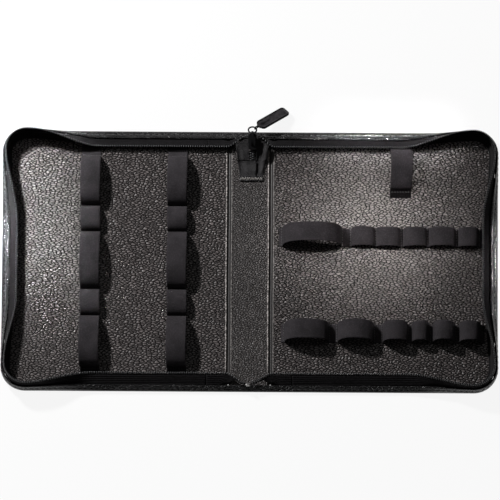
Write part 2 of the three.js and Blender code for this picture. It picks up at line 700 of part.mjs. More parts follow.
// Tack patch that holds the tail's foot to the spine
const PATCH = { half: 12, depth: 5, t: 0.8 };
function tackPatch() {
  const z = LINING_TOP + TAIL_LIFT + TAIL.t;
  const y0 = TAIL.foot - 0.6;
  const x = SLIDER.x / 2;
  const outline = (cut) => [
    [x - PATCH.half + cut, y0 + cut], [x + PATCH.half - cut, y0 + cut],
    [x + PATCH.half - cut, y0 + PATCH.depth - cut], [x - PATCH.half + cut, y0 + PATCH.depth - cut],
  ];
  return slab(outline(0), outline(0.3), z, z + PATCH.t);
}
add('tail_tack_patch', tackPatch(), 'leather');

// Metal stop clamped on the zip's far end
const STOP = { width: 3.4, depth: 3.6, t: 1.6 };
function endStop() {
  const goal = ZIP_END[-1];
  const geometry = new THREE.BoxGeometry(STOP.width, STOP.depth, STOP.t);
  geometry.rotateX(rad(-35));
  geometry.translate(goal.centre, goal.lean - HALF_Y - 2.4, goal.rise - 0.9);
  return geometry;
}
add('zip_end_stop', endStop(), 'steel');

// Ring hooked in the bail, lying over the wall
const hook = new THREE.Vector3(0, RING.hookY, SLIDER.height / 2 + RING.hookZ).applyMatrix4(sliderFrame);
const ringOut = new THREE.Vector3(0, Math.cos(rad(RING.dip)), -Math.sin(rad(RING.dip)));
const ringAcross = new THREE.Vector3(1, 0, 0);
const ringCentre = hook.clone().addScaledVector(ringOut, RING.r);
function pullRing() {
  const ring = new THREE.TorusGeometry(RING.r, RING.wire, 8, 28);
  const frame = new THREE.Matrix4().makeBasis(ringAcross, ringOut, ringAcross.clone().cross(ringOut));
  return ring.applyMatrix4(frame.setPosition(ringCentre));
}
add('pull_ring', weld(pullRing()), 'blackMetal');

// Shares the seam points of a closed three.js shape
function weld(geometry) {
  return fromManifold(toManifold(geometry));
}

// Frame of the pull tab: x across it along the ring's wire, y along the tab, z off its face
const hookAt = rad(RING.hookAt);
const wireWay = ringAcross.clone()
  .multiplyScalar(Math.sin(hookAt))
  .addScaledVector(ringOut, -Math.cos(hookAt));
const tabHook = ringCentre.clone()
  .addScaledVector(ringAcross, RING.r * Math.cos(hookAt))
  .addScaledVector(ringOut, RING.r * Math.sin(hookAt));
const heading = new THREE.Vector3(
  Math.cos(rad(TAB.heading)) * Math.cos(rad(TAB.drop)),
  Math.sin(rad(TAB.heading)) * Math.cos(rad(TAB.drop)),
  -Math.sin(rad(TAB.drop)),
);
heading.addScaledVector(wireWay, -heading.dot(wireWay)).normalize();
const tabFace = wireWay.clone().cross(heading);
const tabFrame = new THREE.Matrix4().makeBasis(wireWay, heading, tabFace).setPosition(tabHook);
const linkSlack = LINK.r - LINK.wire - RING.wire - LINK.play;

function tabLink() {
  const eye = new THREE.TorusGeometry(LINK.r, LINK.wire, 8, 18);
  eye.rotateY(Math.PI / 2);
  eye.translate(0, linkSlack, 0);
  const shank = new THREE.CylinderGeometry(LINK.shankR, LINK.shankR, LINK.shank, 8);
  shank.translate(0, linkSlack + LINK.r + LINK.shank / 2, 0);
  return fromManifold(toManifold(eye).add(toManifold(shank))).applyMatrix4(tabFrame);
}
add('tab_link', tabLink(), 'steel');

function pullTab() {
  const start = linkSlack + LINK.r + LINK.shank + TAB_NECK.clear;
  const w = TAB.width / 2;
  const n = TAB_NECK.width / 2;
  const neckEnd = start + TAB_NECK.length / 4;
  const shoulder = start + TAB_NECK.length + TAB_NECK.flare / 2;
  const end = start + TAB.length;
  const shape = new THREE.Shape();
  shape.moveTo(-n, start);
  shape.lineTo(n, start);
  shape.lineTo(n, neckEnd);
  shape.quadraticCurveTo(w, shoulder - TAB_NECK.flare, w, shoulder);
  shape.lineTo(w, end - TAB.round);
  shape.quadraticCurveTo(w, end, w - TAB.round, end);
  shape.lineTo(TAB.round - w, end);
  shape.quadraticCurveTo(-w, end, -w, end - TAB.round);
  shape.lineTo(-w, shoulder);
  shape.quadraticCurveTo(-w, shoulder - TAB_NECK.flare, -n, neckEnd);
  shape.closePath();
  const body = new THREE.ExtrudeGeometry(shape, {
    depth: TAB.t - 2 * TAB.bevel, bevelEnabled: true, bevelThickness: TAB.bevel, bevelSize: TAB.bevel,
    bevelOffset: -TAB.bevel, bevelSegments: 1, curveSegments: 5,
  });
  body.translate(0, 0, TAB.bevel - TAB.t / 2);
  return weld(body).applyMatrix4(tabFrame);
}
add('pull_tab', pullTab(), 'pull');

export default tool_case;
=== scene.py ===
import math

import bmesh
import bpy
import numpy as np
from mathutils import Matrix, Vector


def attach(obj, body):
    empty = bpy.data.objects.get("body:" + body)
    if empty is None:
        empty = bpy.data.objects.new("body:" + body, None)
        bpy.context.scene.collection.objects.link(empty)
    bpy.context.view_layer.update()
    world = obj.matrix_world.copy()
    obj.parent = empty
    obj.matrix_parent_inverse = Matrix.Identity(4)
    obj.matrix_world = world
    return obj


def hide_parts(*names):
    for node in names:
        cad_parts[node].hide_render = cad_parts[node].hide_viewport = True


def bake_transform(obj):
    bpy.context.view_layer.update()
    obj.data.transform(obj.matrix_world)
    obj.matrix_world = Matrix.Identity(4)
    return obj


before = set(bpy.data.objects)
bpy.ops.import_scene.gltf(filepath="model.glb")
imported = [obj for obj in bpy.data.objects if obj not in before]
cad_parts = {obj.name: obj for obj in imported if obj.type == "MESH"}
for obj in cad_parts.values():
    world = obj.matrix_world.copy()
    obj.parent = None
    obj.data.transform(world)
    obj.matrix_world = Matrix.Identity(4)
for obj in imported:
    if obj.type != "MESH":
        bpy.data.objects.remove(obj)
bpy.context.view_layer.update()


# The view and the light. The open case is seen from far off and well above the edge of its zip's
# closed end. A small key lamp at the upper left throws the shadows, and narrow lamps gloss the
# linings, the wall's rim and its two ends, each from the mirror direction of what it lights.
scene = bpy.context.scene
LENS, DISTANCE, ELEVATION, ROLL = 1080, 15, math.radians(72), math.radians(0.36)


def added(name, data):
    """New object, linked to the scene."""
    made = bpy.data.objects.new(name, data)
    scene.collection.objects.link(made)
    return made


camera = added("camera", bpy.data.cameras.new("camera"))
camera.data.lens = LENS
camera.data.clip_end = 60
aim = Vector((0, 0.0125, 0))
camera.location = aim + DISTANCE * Vector((0, -math.cos(ELEVATION), math.sin(ELEVATION)))
camera.rotation_euler = (aim - camera.location).to_track_quat("-Z", "Y").to_euler()
camera.rotation_euler.rotate_axis("Z", ROLL)
scene.camera = camera
scene.view_settings.view_transform = "Standard"

# each lamp's name, place, aim, two sizes, watts, spread in degrees and tint
for name, place, at, size, watts, spread, tint in (
    ("key_lamp", (-0.76, 0.7, 0.74), (-0.1, 0, 0), (0.1, 0.1), 22.5, 180, (1, 1, 1)),
    ("top_lamp", (0.05, 0.4, 1.0), (0.05, 0, 0), (0.7, 0.7), 0.35, 180, (1, 1, 1)),
    ("pool_lamp_left", (-0.77, 0.71, 0.74), (-0.222, 0.075, 0), (0.03, 0.18), 0.34, 6.4, (0.92, 0.97, 1)),
    ("pool_lamp_right", (0.12, 0.3, 0.78), (0.12, 0.03, 0), (0.1, 0.06), 0.031, 13, (1, 0.93, 0.9)),
    ("rim_lamp", (0.14, 0.62, 0.78), (0.14, 0.146, 0.02), (0.12, 0.02), 0.05, 4.5, (1, 0.97, 0.98)),
    ("edge_lamp_left", (-0.9, 0.34, 0.15), (-0.246, 0.03, -0.02), (0.04, 0.04), 0.06, 8, (1, 0.96, 0.98)),
    ("edge_lamp_right", (0.9, 0.28, 0.15), (0.246, -0.01, -0.02), (0.04, 0.04), 0.035, 9, (1, 0.96, 0.98)),
):
    lamp = added(name, bpy.data.lights.new(name, "AREA"))
    lamp.data.shape = "RECTANGLE"
    lamp.data.size, lamp.data.size_y = size
    lamp.data.spread = math.radians(spread)
    lamp.data.energy = watts
    lamp.data.color = tint
    lamp.location = place
    back = (Vector(place) - Vector(at)).normalized()
    deep = (Vector((0, 1, 0)) - back * back.y).normalized()
    lamp.rotation_euler = Matrix((deep.cross(back), deep, back)).transposed().to_euler()


class Level:
    """A shader socket in a sum: each operator adds one Math node."""

    def __init__(self, finish, socket):
        self.finish, self.socket = finish, socket

    def math(self, operation, other=0.0):
        return self.finish.node("Math", {0: self, 1: other}, operation=operation)

    def __add__(self, other):
        return self.math("ADD", other)

    def __sub__(self, other):
        return self.math("SUBTRACT", other)

    def __mul__(self, other):
        return self.math("MULTIPLY", other)

    def __rsub__(self, other):
        return self.finish.node("Math", {0: other, 1: self}, operation="SUBTRACT")

    __radd__, __rmul__ = __add__, __mul__


class Finish:
    """A material whose pattern is written as sums of Levels."""

    def __init__(self, name, colour, roughness, metallic=0.0, specular=0.5, sheen=0.0):
        self.material = bpy.data.materials.new(name)
        self.material.use_nodes = True
        self.material.diffuse_color = (*colour, 1)
        self.tree = self.material.node_tree
        self.shader = self.tree.nodes["Principled BSDF"]
        self.set("Base Color", (*colour, 1))
        self.set("Roughness", roughness)
        self.set("Metallic", metallic)
        self.set("Specular IOR Level", specular)
        self.set("Sheen Weight", sheen)
        self.set("Sheen Roughness", 0.4)

    def node(self, kind, inputs=(), output=0, **settings):
        """Any other node: its settings first, then the values or links of its sockets."""
        made = self.tree.nodes.new("ShaderNode" + kind)
        for key, value in settings.items():
            setattr(made, key, value)
        for key, value in dict(inputs).items():
            self.feed(made.inputs[key], value)
        return Level(self, made.outputs[output])

    def axis(self, letter, source="Object"):
        """One coordinate of the object or of the UV, in metres."""
        return self.node("SeparateXYZ", {0: self.node("TexCoord", output=source)}, letter)

    def feed(self, socket, value):
        """Links a Level to a socket, or sets the socket's value."""
        if isinstance(value, Level):
            self.tree.links.new(value.socket, socket)
        else:
            socket.default_value = value

    def set(self, socket, value):
        self.feed(self.shader.inputs[socket], value)

    def blend(self, factor, dark, light):
        """Colour between two others, by a Level from 0 to 1."""
        return self.node("Mix", {0: factor, 6: (*dark, 1), 7: (*light, 1)}, 2, data_type="RGBA")

    def smooth(self, value, low, high):
        """0 up to low and 1 from high, with 3k^2 - 2k^3 between them."""
        return self.node("MapRange", {"Value": value, "From Min": low, "From Max": high},
                         interpolation_type="SMOOTHSTEP")

    def crease(self, tops, colour):
        """A matt shader of that colour shows where tops is 0."""
        self.show(tops, self.node("BsdfPrincipled", {"Base Color": (*colour, 1), "Roughness": 0.9,
                                                     "Specular IOR Level": 0.0}),
                  Level(self, self.shader.outputs[0]))

    def show(self, factor, first, second):
        """The surface is a mix of two shaders."""
        mixed = self.node("MixShader", {0: factor, 1: first, 2: second})
        self.feed(self.tree.nodes["Material Output"].inputs["Surface"], mixed)

    def raise_by(self, height, millimetres, under=None):
        """Bump of that height on the surface, over another bump where one is given."""
        inputs = {"Height": height, "Distance": millimetres / 1000, "Strength": 1.0}
        if under is not None:
            inputs["Normal"] = under
        bump = self.node("Bump", inputs)
        self.set("Normal", bump)
        return bump


# The covers: two outer panels and the spine's own, black grained leatherette wrapped round the
# stiffening boards. Each is a thin sheet with rounded corners whose edges are rolled under.
OPEN_LENGTH, CASE_WIDTH, CORNER_R, HINGE_X, HINGE_Z = 497.0, 274.5, 25.0, 21.0, 0.5
HALF_X, HALF_Y = OPEN_LENGTH / 2, CASE_WIDTH / 2
COVER_TOP, LINING_LOW, LINING_TOP = 1.0, 2.2, 3.0
COVER_INSET, LINING_INSET = 3.9, 7.0
HALVES = (("right", 1), ("left", -1))
ENDS = (("slider_end", 1), ("far_end", -1))


def fold_back(z):
    """Distance of a folding edge from the hinge line: 0.3 + |z - hinge height|."""
    return 0.3 + np.abs(z - HINGE_Z)


def ease(k):
    """3k^2 - 2k^3, with k held between 0 and 1."""
    c = np.clip(k, 0, 1)
    return c * c * (3 - 2 * c)


def together(*parts):
    """Points from coordinates that broadcast together."""
    return np.stack(np.broadcast_arrays(*parts), -1)


def unit(vectors):
    """Each vector divided by its own length."""
    return vectors / np.linalg.norm(vectors, axis=-1, keepdims=True)


def finished(name, points, faces, material, uv=None, sharp=None):
    """Object from points in millimetres; the faces are turned to point out by the sign of the volume."""
    points = points.reshape(-1, 3) / 1000
    a, b, c = points[faces[:, :3].T]
    volume = np.einsum("ij,ij->", a, np.cross(b, c))
    if faces.shape[1] == 4:
        volume += np.einsum("ij,ij->", a, np.cross(c, points[faces[:, 3]]))
    if volume < 0:
        faces = faces[:, ::-1]
    mesh = bpy.data.meshes.new(name)
    mesh.from_pydata(points, [], faces)
    mesh.shade_smooth()
    if sharp:
        mesh.set_sharp_from_angle(angle=math.radians(sharp))
    if uv is not None:
        corners = np.empty(len(mesh.loops), np.int32)
        mesh.loops.foreach_get("vertex_index", corners)
        strip = uv.reshape(-1, 2) / 1000
        mesh.uv_layers.new(name="strip").data.foreach_set("uv", strip[corners].ravel())
    mesh.materials.append(material)
    made = added(name, mesh)
    return made


def skins(name, outer, inner, material, slot_name, uv=None):
    """Closed sheet between two grids of points (rows, columns, 3), joined along all four borders."""
    rows, columns = outer.shape[:2]
    a = np.arange(rows * columns).reshape(rows, columns)
    b = a + rows * columns

    def quads(*corners):
        """Faces from four grids of corner numbers."""
        return np.stack(corners, -1).reshape(-1, 4)

    faces = np.concatenate([
        quads(a[:-1, :-1], a[1:, :-1], a[1:, 1:], a[:-1, 1:]),
        quads(b[:-1, :-1], b[:-1, 1:], b[1:, 1:], b[1:, :-1]),
        quads(a[0, :-1], a[0, 1:], b[0, 1:], b[0, :-1]),
        quads(a[-1, :-1], b[-1, :-1], b[-1, 1:], a[-1, 1:]),
        quads(a[:-1, 0], b[:-1, 0], b[1:, 0], a[1:, 0]),
        quads(a[:-1, -1], a[1:, -1], b[1:, -1], b[:-1, -1]),
    ])
    if uv is not None:
        uv = np.stack([uv] * 2)
    return finished(name, np.stack([outer, inner]), faces, material, uv)


EDGE_MARKS = np.array([0, 0.12, 0.35, 0.7, 1.2, 2.0, 3.2])


def roll(distance, radius):
    """How far a rounded edge lies below the sheet: radius - sqrt(radius^2 - (radius - distance)^2)."""
    back = np.clip(radius - distance, 0, radius)
    return radius - np.sqrt(np.maximum(radius ** 2 - back ** 2, 0))


def half_sheet(side, inset, z0, z1, relief=None):
    """Both skins of a half's layer: x from the fold to the far edge, y = v * h(x), h(x) on the corner arc."""
    r, cx, cy = CORNER_R - inset, HALF_X - CORNER_R, HALF_Y - CORNER_R
    start = HINGE_X + fold_back(z1)
    arc = cx + r * np.sin(np.linspace(0, math.pi / 2, 16))
    x = np.concatenate([start + EDGE_MARKS, np.arange(start + 5, cx - 1, 2.0), arc[:-1],
                        cx + r - EDGE_MARKS[3::-1]])
    x = np.unique(np.round(x, 3))[:, None]
    reach = cy + np.sqrt(np.maximum(r ** 2 - np.maximum(x - cx, 0) ** 2, 0))
    v = 1 - EDGE_MARKS / HALF_Y
    v = np.concatenate([-v, np.linspace(-0.97, 0.97, 131), v[::-1]])
    y = v * reach
    edge = np.minimum(np.minimum(reach - np.abs(y), cx + r - x), x - start)
    drop = roll(edge, (z1 - z0) * 0.45)
    top = z1 - drop + (relief(side * x, y) if relief else 0)
    low_x = np.where(x < start + 0.01, HINGE_X + fold_back(z0), x)
    return together(side * x, y, top), together(side * low_x, y, z0 + drop)


def middle_sheet(inset, z0, z1, relief=None):
    """Both skins of a spine layer, cut back from each hinge line."""
    reach_x, reach_y = HINGE_X - fold_back(z1), HALF_Y - inset
    x, y = (np.concatenate([EDGE_MARKS - r, np.linspace(4 - r, r - 4, n), r - EDGE_MARKS[::-1]])
            for r, n in ((reach_x, 19), (reach_y, 130)))
    x = x[:, None]
    drop = roll(np.minimum(reach_x - np.abs(x), reach_y - np.abs(y)), (z1 - z0) * 0.45)
    return together(x, y, z1 - drop + (relief(x, y) if relief else 0)), together(x, y, z0 + drop)


def grain_space(finish, cell, warp=0.35, long=1.0):
    """Object coordinates pushed about by noise of the grain's size, and drawn out along a slant."""
    place = finish.node("TexCoord", output="Object")
    bend = finish.node("TexNoise", {"Vector": place, "Scale": 320 / cell, "Detail": 2.0}, "Color")
    moved = finish.node("VectorMath", {0: bend, 1: (warp * cell / 1000,) * 3, 2: place},
                        operation="MULTIPLY_ADD")
    if long == 1.0:
        return moved
    return finish.node("Mapping", {"Vector": moved, "Rotation": (0, 0, 0.6), "Scale": (1 / long, long, 1)})


def gap_between(finish, space, cell, dimensions):
    """Distance from the creases between the cells, in cells."""
    return finish.node("TexVoronoi", {"Vector": space, "Scale": 1000 / cell}, "Distance",
                       feature="DISTANCE_TO_EDGE", voronoi_dimensions=dimensions)


def cloud(finish, size, detail=2.0):
    """Soft noise of that size in millimetres, about 0.5."""
    place = finish.node("TexCoord", output="Object")
    return finish.node("TexNoise", {"Vector": place, "Scale": 1000 / size, "Detail": detail})


# embossed leatherette: dark creases, tops rubbed paler and smoother, fine pores over all
GRAIN, EMBOSS, BLACK = 1.8, 0.3, (0.0018, 0.0016, 0.0019)
f = Finish("case_leather", BLACK, 0.2, specular=0.32)
grain = f.smooth(gap_between(f, grain_space(f, GRAIN), GRAIN, "3D"), 0.0, 0.16)
patch = f.smooth(cloud(f, 22), 0.35, 0.65)
f.set("Base Color", f.blend(grain * (0.45 + patch * 0.4), BLACK, (0.008, 0.0074, 0.0082)))
f.set("Roughness", 0.42 - grain * 0.2 + patch * 0.06)
pores = f.raise_by(cloud(f, 0.55, 3.0), EMBOSS * 0.35)
f.raise_by(grain + cloud(f, GRAIN * 1.3) * 0.6, EMBOSS, pores)
f.set("Coat Weight", grain * (0.1 + patch * 0.35))
f.set("Coat Roughness", 0.27)
case_leather = f.material

for half, side in HALVES:
    layer = half_sheet(side, COVER_INSET, 0.0, COVER_TOP)
    made = skins(f"{half}_cover_skin", *layer, case_leather, "leatherette")
    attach(made, f"{half}_half")
    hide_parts(f"{half}_cover")
made = skins("spine_cover_skin", *middle_sheet(COVER_INSET, 0.0, COVER_TOP), case_leather, "leatherette")
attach(made, "spine")
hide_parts("spine_cover")


# The boards: stiff grey card between cover and lining, one in each half and one in the spine,
# glued down; only their edges show where the case bends.
card = Finish("card", (0.22, 0.19, 0.15), 0.85)
fibres = cloud(card, 1.2, 5.0)
card.set("Base Color", card.blend(fibres, (0.16, 0.14, 0.11), (0.27, 0.24, 0.19)))
card.raise_by(fibres, 0.15)
for name in ("right_board", "left_board", "spine_board"):
    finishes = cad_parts[name].data.materials
    finishes.clear()
    finishes.append(card.material)


# The linings: the same sheet with a much coarser crackled grain and half gloss in both halves,
# and a finer grain on the spine, bonded to the boards and slightly uneven over them.
def soft_ground(x, y):
    """Unevenness of the glued sheet: four long waves, 0.3 mm at most."""
    return 0.11 * np.sin(x / 19 + y / 47) + 0.08 * np.sin(y / 15 - x / 33 + 1.7) \
        + 0.06 * np.sin(x / 8.3 + 0.6 * y / 8.3) + 0.05 * np.sin(y / 6.1 - x / 9.7)


def crackled(name, cell, depth, top):
    """Crackled lining: long domed flakes under a varnish and matt black creases; shade is painted in and
    towards the creases, and glints flake by flake.
    """
    f = Finish(name, top, 0.55, specular=0.6)
    space = grain_space(f, cell, 1.3, 1.45)
    gap = gap_between(f, space, cell, "2D")
    dome, flake = f.smooth(gap, 0.0, 0.4), f.smooth(gap, 0.03, 0.18)
    # each flake's own random number: it varies roughness, height and coat, and in the base colour it paints
    # glints flake by flake
    flake_lot_and_painted_glint = f.node("TexVoronoi", {"Vector": space, "Scale": 1000 / cell}, "Color", voronoi_dimensions="2D")
    flake_lot_and_painted_glint = f.node("SeparateXYZ", {0: flake_lot_and_painted_glint}, "X")
    patch = f.smooth(cloud(f, 26), 0.3, 0.7)
    # base colour: darker towards each flake's creases as painted shade, lighter or darker flake by flake as
    # painted glints, with a random patch tone
    f.set("Base Color", f.blend(dome * (0.5 + flake_lot_and_painted_glint * 0.3 + patch * 0.2), tuple(c * 0.1 for c in top), top))
    f.set("Roughness", 0.56 - flake_lot_and_painted_glint * 0.1)
    f.raise_by(dome * (0.7 + flake_lot_and_painted_glint * 0.3), depth, f.raise_by(cloud(f, 0.7, 3.0), depth * 0.15))
    f.set("Coat Weight", flake * (0.4 + flake_lot_and_painted_glint * 0.6))
    f.set("Coat Roughness", 0.36)
    # the creases get a matt near-black shader without gloss: the lining's dark cracks with their shade
    # painted in
    f.crease(flake, tuple(c * 0.03 for c in top))
    return f.material


lining_leather = crackled("lining_leather", 2.8, 0.8, (0.135, 0.111, 0.108))
spine_leather = crackled("spine_leather", 2.1, 0.3, (0.095, 0.08, 0.077))
for half, side in HALVES:
    layer = half_sheet(side, LINING_INSET, LINING_LOW, LINING_TOP, soft_ground)
    made = skins(f"{half}_lining_skin", *layer, lining_leather, "lining")
    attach(made, f"{half}_half")
    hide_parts(f"{half}_lining")
layer = middle_sheet(LINING_INSET, LINING_LOW, LINING_TOP, soft_ground)
made = skins("spine_lining_skin", *layer, spine_leather, "lining")
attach(made, "spine")
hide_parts("spine_lining")


# The creases: a strip of lining pressed down between spine and half, where the case folds. Its
# two edges stand up as thin glossy beads, and it closes the gap right down to the underside.
# The beads' pale, speckled ridges are painted highlight: weaker on the +x bead of each pair, and
# fading near their ends.
def through(knots, count):
    """Smooth curve through the knots (..., k, d), Catmull-Rom: count points along axis -2."""
    k = knots.shape[-2]
    padded = np.concatenate([2 * knots[..., :1, :] - knots[..., 1:2, :], knots,
                             2 * knots[..., -1:, :] - knots[..., -2:-1, :]], -2)
    t = np.linspace(0, k - 1, count)
    i = np.minimum(t.astype(int), k - 2)
    u = (t - i)[:, None]
    p0, p1, p2, p3 = (padded[..., i + j, :] for j in range(4))
    return 0.5 * (2 * p1 + (p2 - p0) * u + (2 * p0 - 5 * p1 + 4 * p2 - p3) * u ** 2
                  + (3 * p1 - p0 - 3 * p2 + p3) * u ** 3)


beads = Finish("bead_leather", (0.05, 0.046, 0.043), 0.3, specular=0.2)
off = beads.axis("X") * 1000
off = off - off.math("SIGN") * HINGE_X
# painted highlight: the ridges are pale and speckled, the +x bead of each pair dimmer, fading at both ends
ridge_with_painted_highlight = beads.smooth(off.math("ABSOLUTE"), 1.8, 2.5) * (1.0 - 0.55 * beads.smooth(off, 0, 1))
ridge_with_painted_highlight = ridge_with_painted_highlight * (1.0 - beads.smooth((beads.axis("Y") * 1000).math("ABSOLUTE"), 110, 120))
speck = beads.smooth(cloud(beads, 1.4, 3.0), 0.42, 0.6)
beads.set("Base Color", beads.blend(ridge_with_painted_highlight * (0.15 + 0.85 * speck),
                                    (0.018, 0.016, 0.0155), (0.42, 0.385, 0.37)))
beads.set("Roughness", 0.32 + 0.2 * cloud(beads, 3.0))
beads.raise_by(cloud(beads, 0.8, 3.0), 0.15)
beads.set("Coat Weight", ridge_with_painted_highlight * speck * 0.6)
beads.set("Coat Roughness", 0.2)
CREASE_OUTSIDE = np.array([
    (-3.5, 3.02), (-3.1, 3.5), (-2.55, 3.85), (-1.95, 3.5), (-1.4, 2.8), (-0.7, 2.4), (0, 2.5),
    (0.6, 2.75), (1.2, 2.8), (1.8, 2.8), (2.4, 3.2), (3.0, 3.25), (3.5, 3.02)])
under = [(-3.4, 2.99), (-3.0, 2.97), (-2.45, 2.6), (-1.85, 2.0), (-1.0, 1.05), (-0.6, 0.14), (0, 0.04)]
CREASE_UNDERSIDE = np.array(under + [(-x, z) for x, z in under[-2::-1]])
for half, side in HALVES:
    y = np.linspace(-129, 129, 173)[:, None]
    drift = 0.12 * np.sin(y / 21 + side) + 0.06 * np.sin(y / 5.3)
    pair = []
    for line, sway in ((CREASE_OUTSIDE, drift), (CREASE_UNDERSIDE, 0)):
        x, z = through(line, 33).T
        pair.append(together(side * HINGE_X + x + sway, y, z))
    made = skins(f"{half}_crease_skin", *pair, beads.material, "lining")
    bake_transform(made)
    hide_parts(f"{half}_crease")


# The wall: a leatherette strip sewn round three sides of each half. It is tucked under the
# cover's edge, rolls out, and is pinched by one row of lockstitch; slack gathers at the corners.
WALL_SLANT, WALL_N, WALL_Z = 21.0, 0.8, 0.9
LEAN = {"long": 19.0, "side": 15.2, "corner": 2.0}
BOW = {"north": 0.1, "south": 0.8, "side": 0.1, "corner": 0.3}
SIDE_RUN = HALF_X - CORNER_R - HINGE_X
ARC_RUN = math.pi / 2 * CORNER_R
END_RUN = CASE_WIDTH - 2 * CORNER_R
HALF_RUN = 2 * SIDE_RUN + 2 * ARC_RUN + END_RUN
TAPE_OUT, TAPE_T = -1.5, 0.7
TAPE_MID = TAPE_OUT - TAPE_T / 2
STITCH_PITCH, STITCH_AT = 5.8, 0.27
TURN_RUN, CUT_RUN = 72, 8


def marks(start, end, step):
    """Distances from start to end, the last step cut short."""
    return np.unique(np.concatenate([np.arange(start, end, step), [end]]))


def rise_for(lean):
    """How high the wall's slant reaches where it leans in so far."""
    return np.sqrt(WALL_SLANT ** 2 - (lean - WALL_N) ** 2)


def stations(side, s):
    """Feet of the wall at distances s round a half: place, inward direction, lean, rise, bow, share of
    the corner's slack, and how far the fold is."""
    near = np.minimum(s, HALF_RUN - s)
    way = np.where(s < HALF_RUN / 2, 1.0, -1.0)
    cx, cy = HALF_X - CORNER_R, HALF_Y - CORNER_R
    a = np.clip((near - SIDE_RUN) / ARC_RUN, 0, 1) * math.pi / 2
    ox, oy = np.sin(a), way * np.cos(a)
    x = np.where(near <= SIDE_RUN, HINGE_X + near, cx + CORNER_R * ox)
    y = np.where(near <= SIDE_RUN, way * HALF_Y, way * cy + CORNER_R * oy)
    on_end = near >= SIDE_RUN + ARC_RUN
    y = np.where(on_end, cy - (s - SIDE_RUN - ARC_RUN), y)
    oy = np.where(on_end, 0, oy)
    k_side = ease((SIDE_RUN - near) / TURN_RUN)
    k_end = ease((near - SIDE_RUN - ARC_RUN) / TURN_RUN)

    def turned(corner, along_side, along_end):
        """Passes from the corner's value to those of the long side and the end."""
        return corner + (along_side - corner) * k_side + (along_end - corner) * k_end

    lean = turned(LEAN["corner"], LEAN["long"], LEAN["side"])
    bow = turned(BOW["corner"], np.where(way > 0, BOW["north"], BOW["south"]), BOW["side"])
    return dict(x=side * x, y=y, mx=-side * ox, my=-oy, lean=lean, rise=rise_for(lean), bow=bow,
                corner=1 - np.maximum(k_side, k_end), from_fold=near - 6)


def spine_stations(x, way, lean=LEAN["long"], rise=rise_for(LEAN["long"])):
    """The same for points along the spine's own end, way = 1 at the slider's end."""
    ones = np.ones_like(x)
    return dict(x=x, y=way * HALF_Y * ones, mx=0 * ones, my=-way * ones, lean=lean * ones, rise=rise * ones,
                bow=BOW["north" if way > 0 else "south"] * ones, corner=0 * ones, from_fold=11 - np.abs(x))


def wall_point(at, t, out):
    """(n, z) at t of the way up the wall's bowed curve, moved out along its normal; shapes broadcast."""
    lean, rise, bow = (at[key][:, None] for key in ("lean", "rise", "bow"))
    q = 1 - t
    cn = (WALL_N + lean) / 2 * (1 - bow) + 0.6 * bow
    cz = (WALL_Z + rise) / 2 * (1 - bow) + 0.55 * rise * bow
    n = WALL_N * q * q + 2 * cn * q * t + lean * t * t
    z = WALL_Z * q * q + 2 * cz * q * t + rise * t * t
    dn = (cn - WALL_N) * q + (lean - cn) * t
    dz = (cz - WALL_Z) * q + (rise - cz) * t
    size = np.hypot(dn, dz)
    return np.stack([n - dz / size * out, z + dn / size * out], -1)


def wall_row(at, t, out):
    """(n, z) of one row of points along the wall; out is one number or one for each station."""
    return wall_point(at, np.array([t]), np.reshape(out, (-1, 1)))[:, 0]


def placed(at, nz):
    """Points (rows, columns, 3) from distances n inwards and heights z."""
    n, z = nz[..., 0], nz[..., 1]
    x, y, mx, my = (at[key][:, None] for key in ("x", "y", "mx", "my"))
    return together(x + mx * n, y + my * n, z)


def placed_row(at, t, out):
    """Points of one row along the wall, at t of the way up and moved out along its normal."""
    return placed(at, wall_row(at, t, out)[:, None])[:, 0]


def cut_to_fold(side, grid):
    """Slants the first CUT_RUN of a wall piece, so that its edge lies on the hinge's slanted cut."""
    past = np.abs(grid[..., 0]) - HINGE_X
    grid[..., 0] += side * fold_back(grid[..., 2]) * np.clip(1 - past / CUT_RUN, 0, 1)
    return grid


def wall_lines(at, s):
    """Outer and inner lines of the leather strip at each station, from its tuck to its turned top edge."""
    loose = ease(at["from_fold"] / 12)
    turn = 2 * math.pi * s / STITCH_PITCH
    pucker = np.cos(turn) * loose
    slack = (0.16 * np.sin(s / 13.1) + 0.12 * np.sin(s / 7.3 + 1)) * loose
    fold = (0.1 + 0.32 * at["corner"]) * np.sin(turn + 0.5 * np.sin(s / 17)) * loose

    def line(foot, wall):
        """Through knots (n, z) at the foot, then (t, out) up the wall."""
        knots = [np.full((len(s), 2), knot) for knot in foot] + [wall_row(at, t, out) for t, out in wall]
        return through(np.stack(knots, 1), 49)

    return line(((3.7, 0.55), (3.3, 0.06), (1.9, 0.03), (0.75, 0.3)), (
        (0.05, 0.42 + slack * 0.4), (0.14, 0.66 + slack + fold * 0.5),
        (0.22, 0.5 + 0.1 * pucker + fold * 0.6), (0.27, 0.08 + 0.1 * pucker),
        (0.32, 0.5 + 0.1 * pucker - fold * 0.6), (0.39, 0.66 - slack - fold * 0.4),
        (0.46, 0.5 - slack * 0.5), (0.5, 0.1), (0.497, -0.5),
    )), line(((3.75, 0.7), (3.4, 0.95), (2.6, 1.0), (2.1, 1.3)), (
        (0.08, -0.95), (0.14, -0.95), (0.2, -1.0), (0.27, -1.15), (0.32, -1.1), (0.38, -1.05), (0.44, -1.1),
        (0.48, -1.15), (0.492, -1.0),
    ))


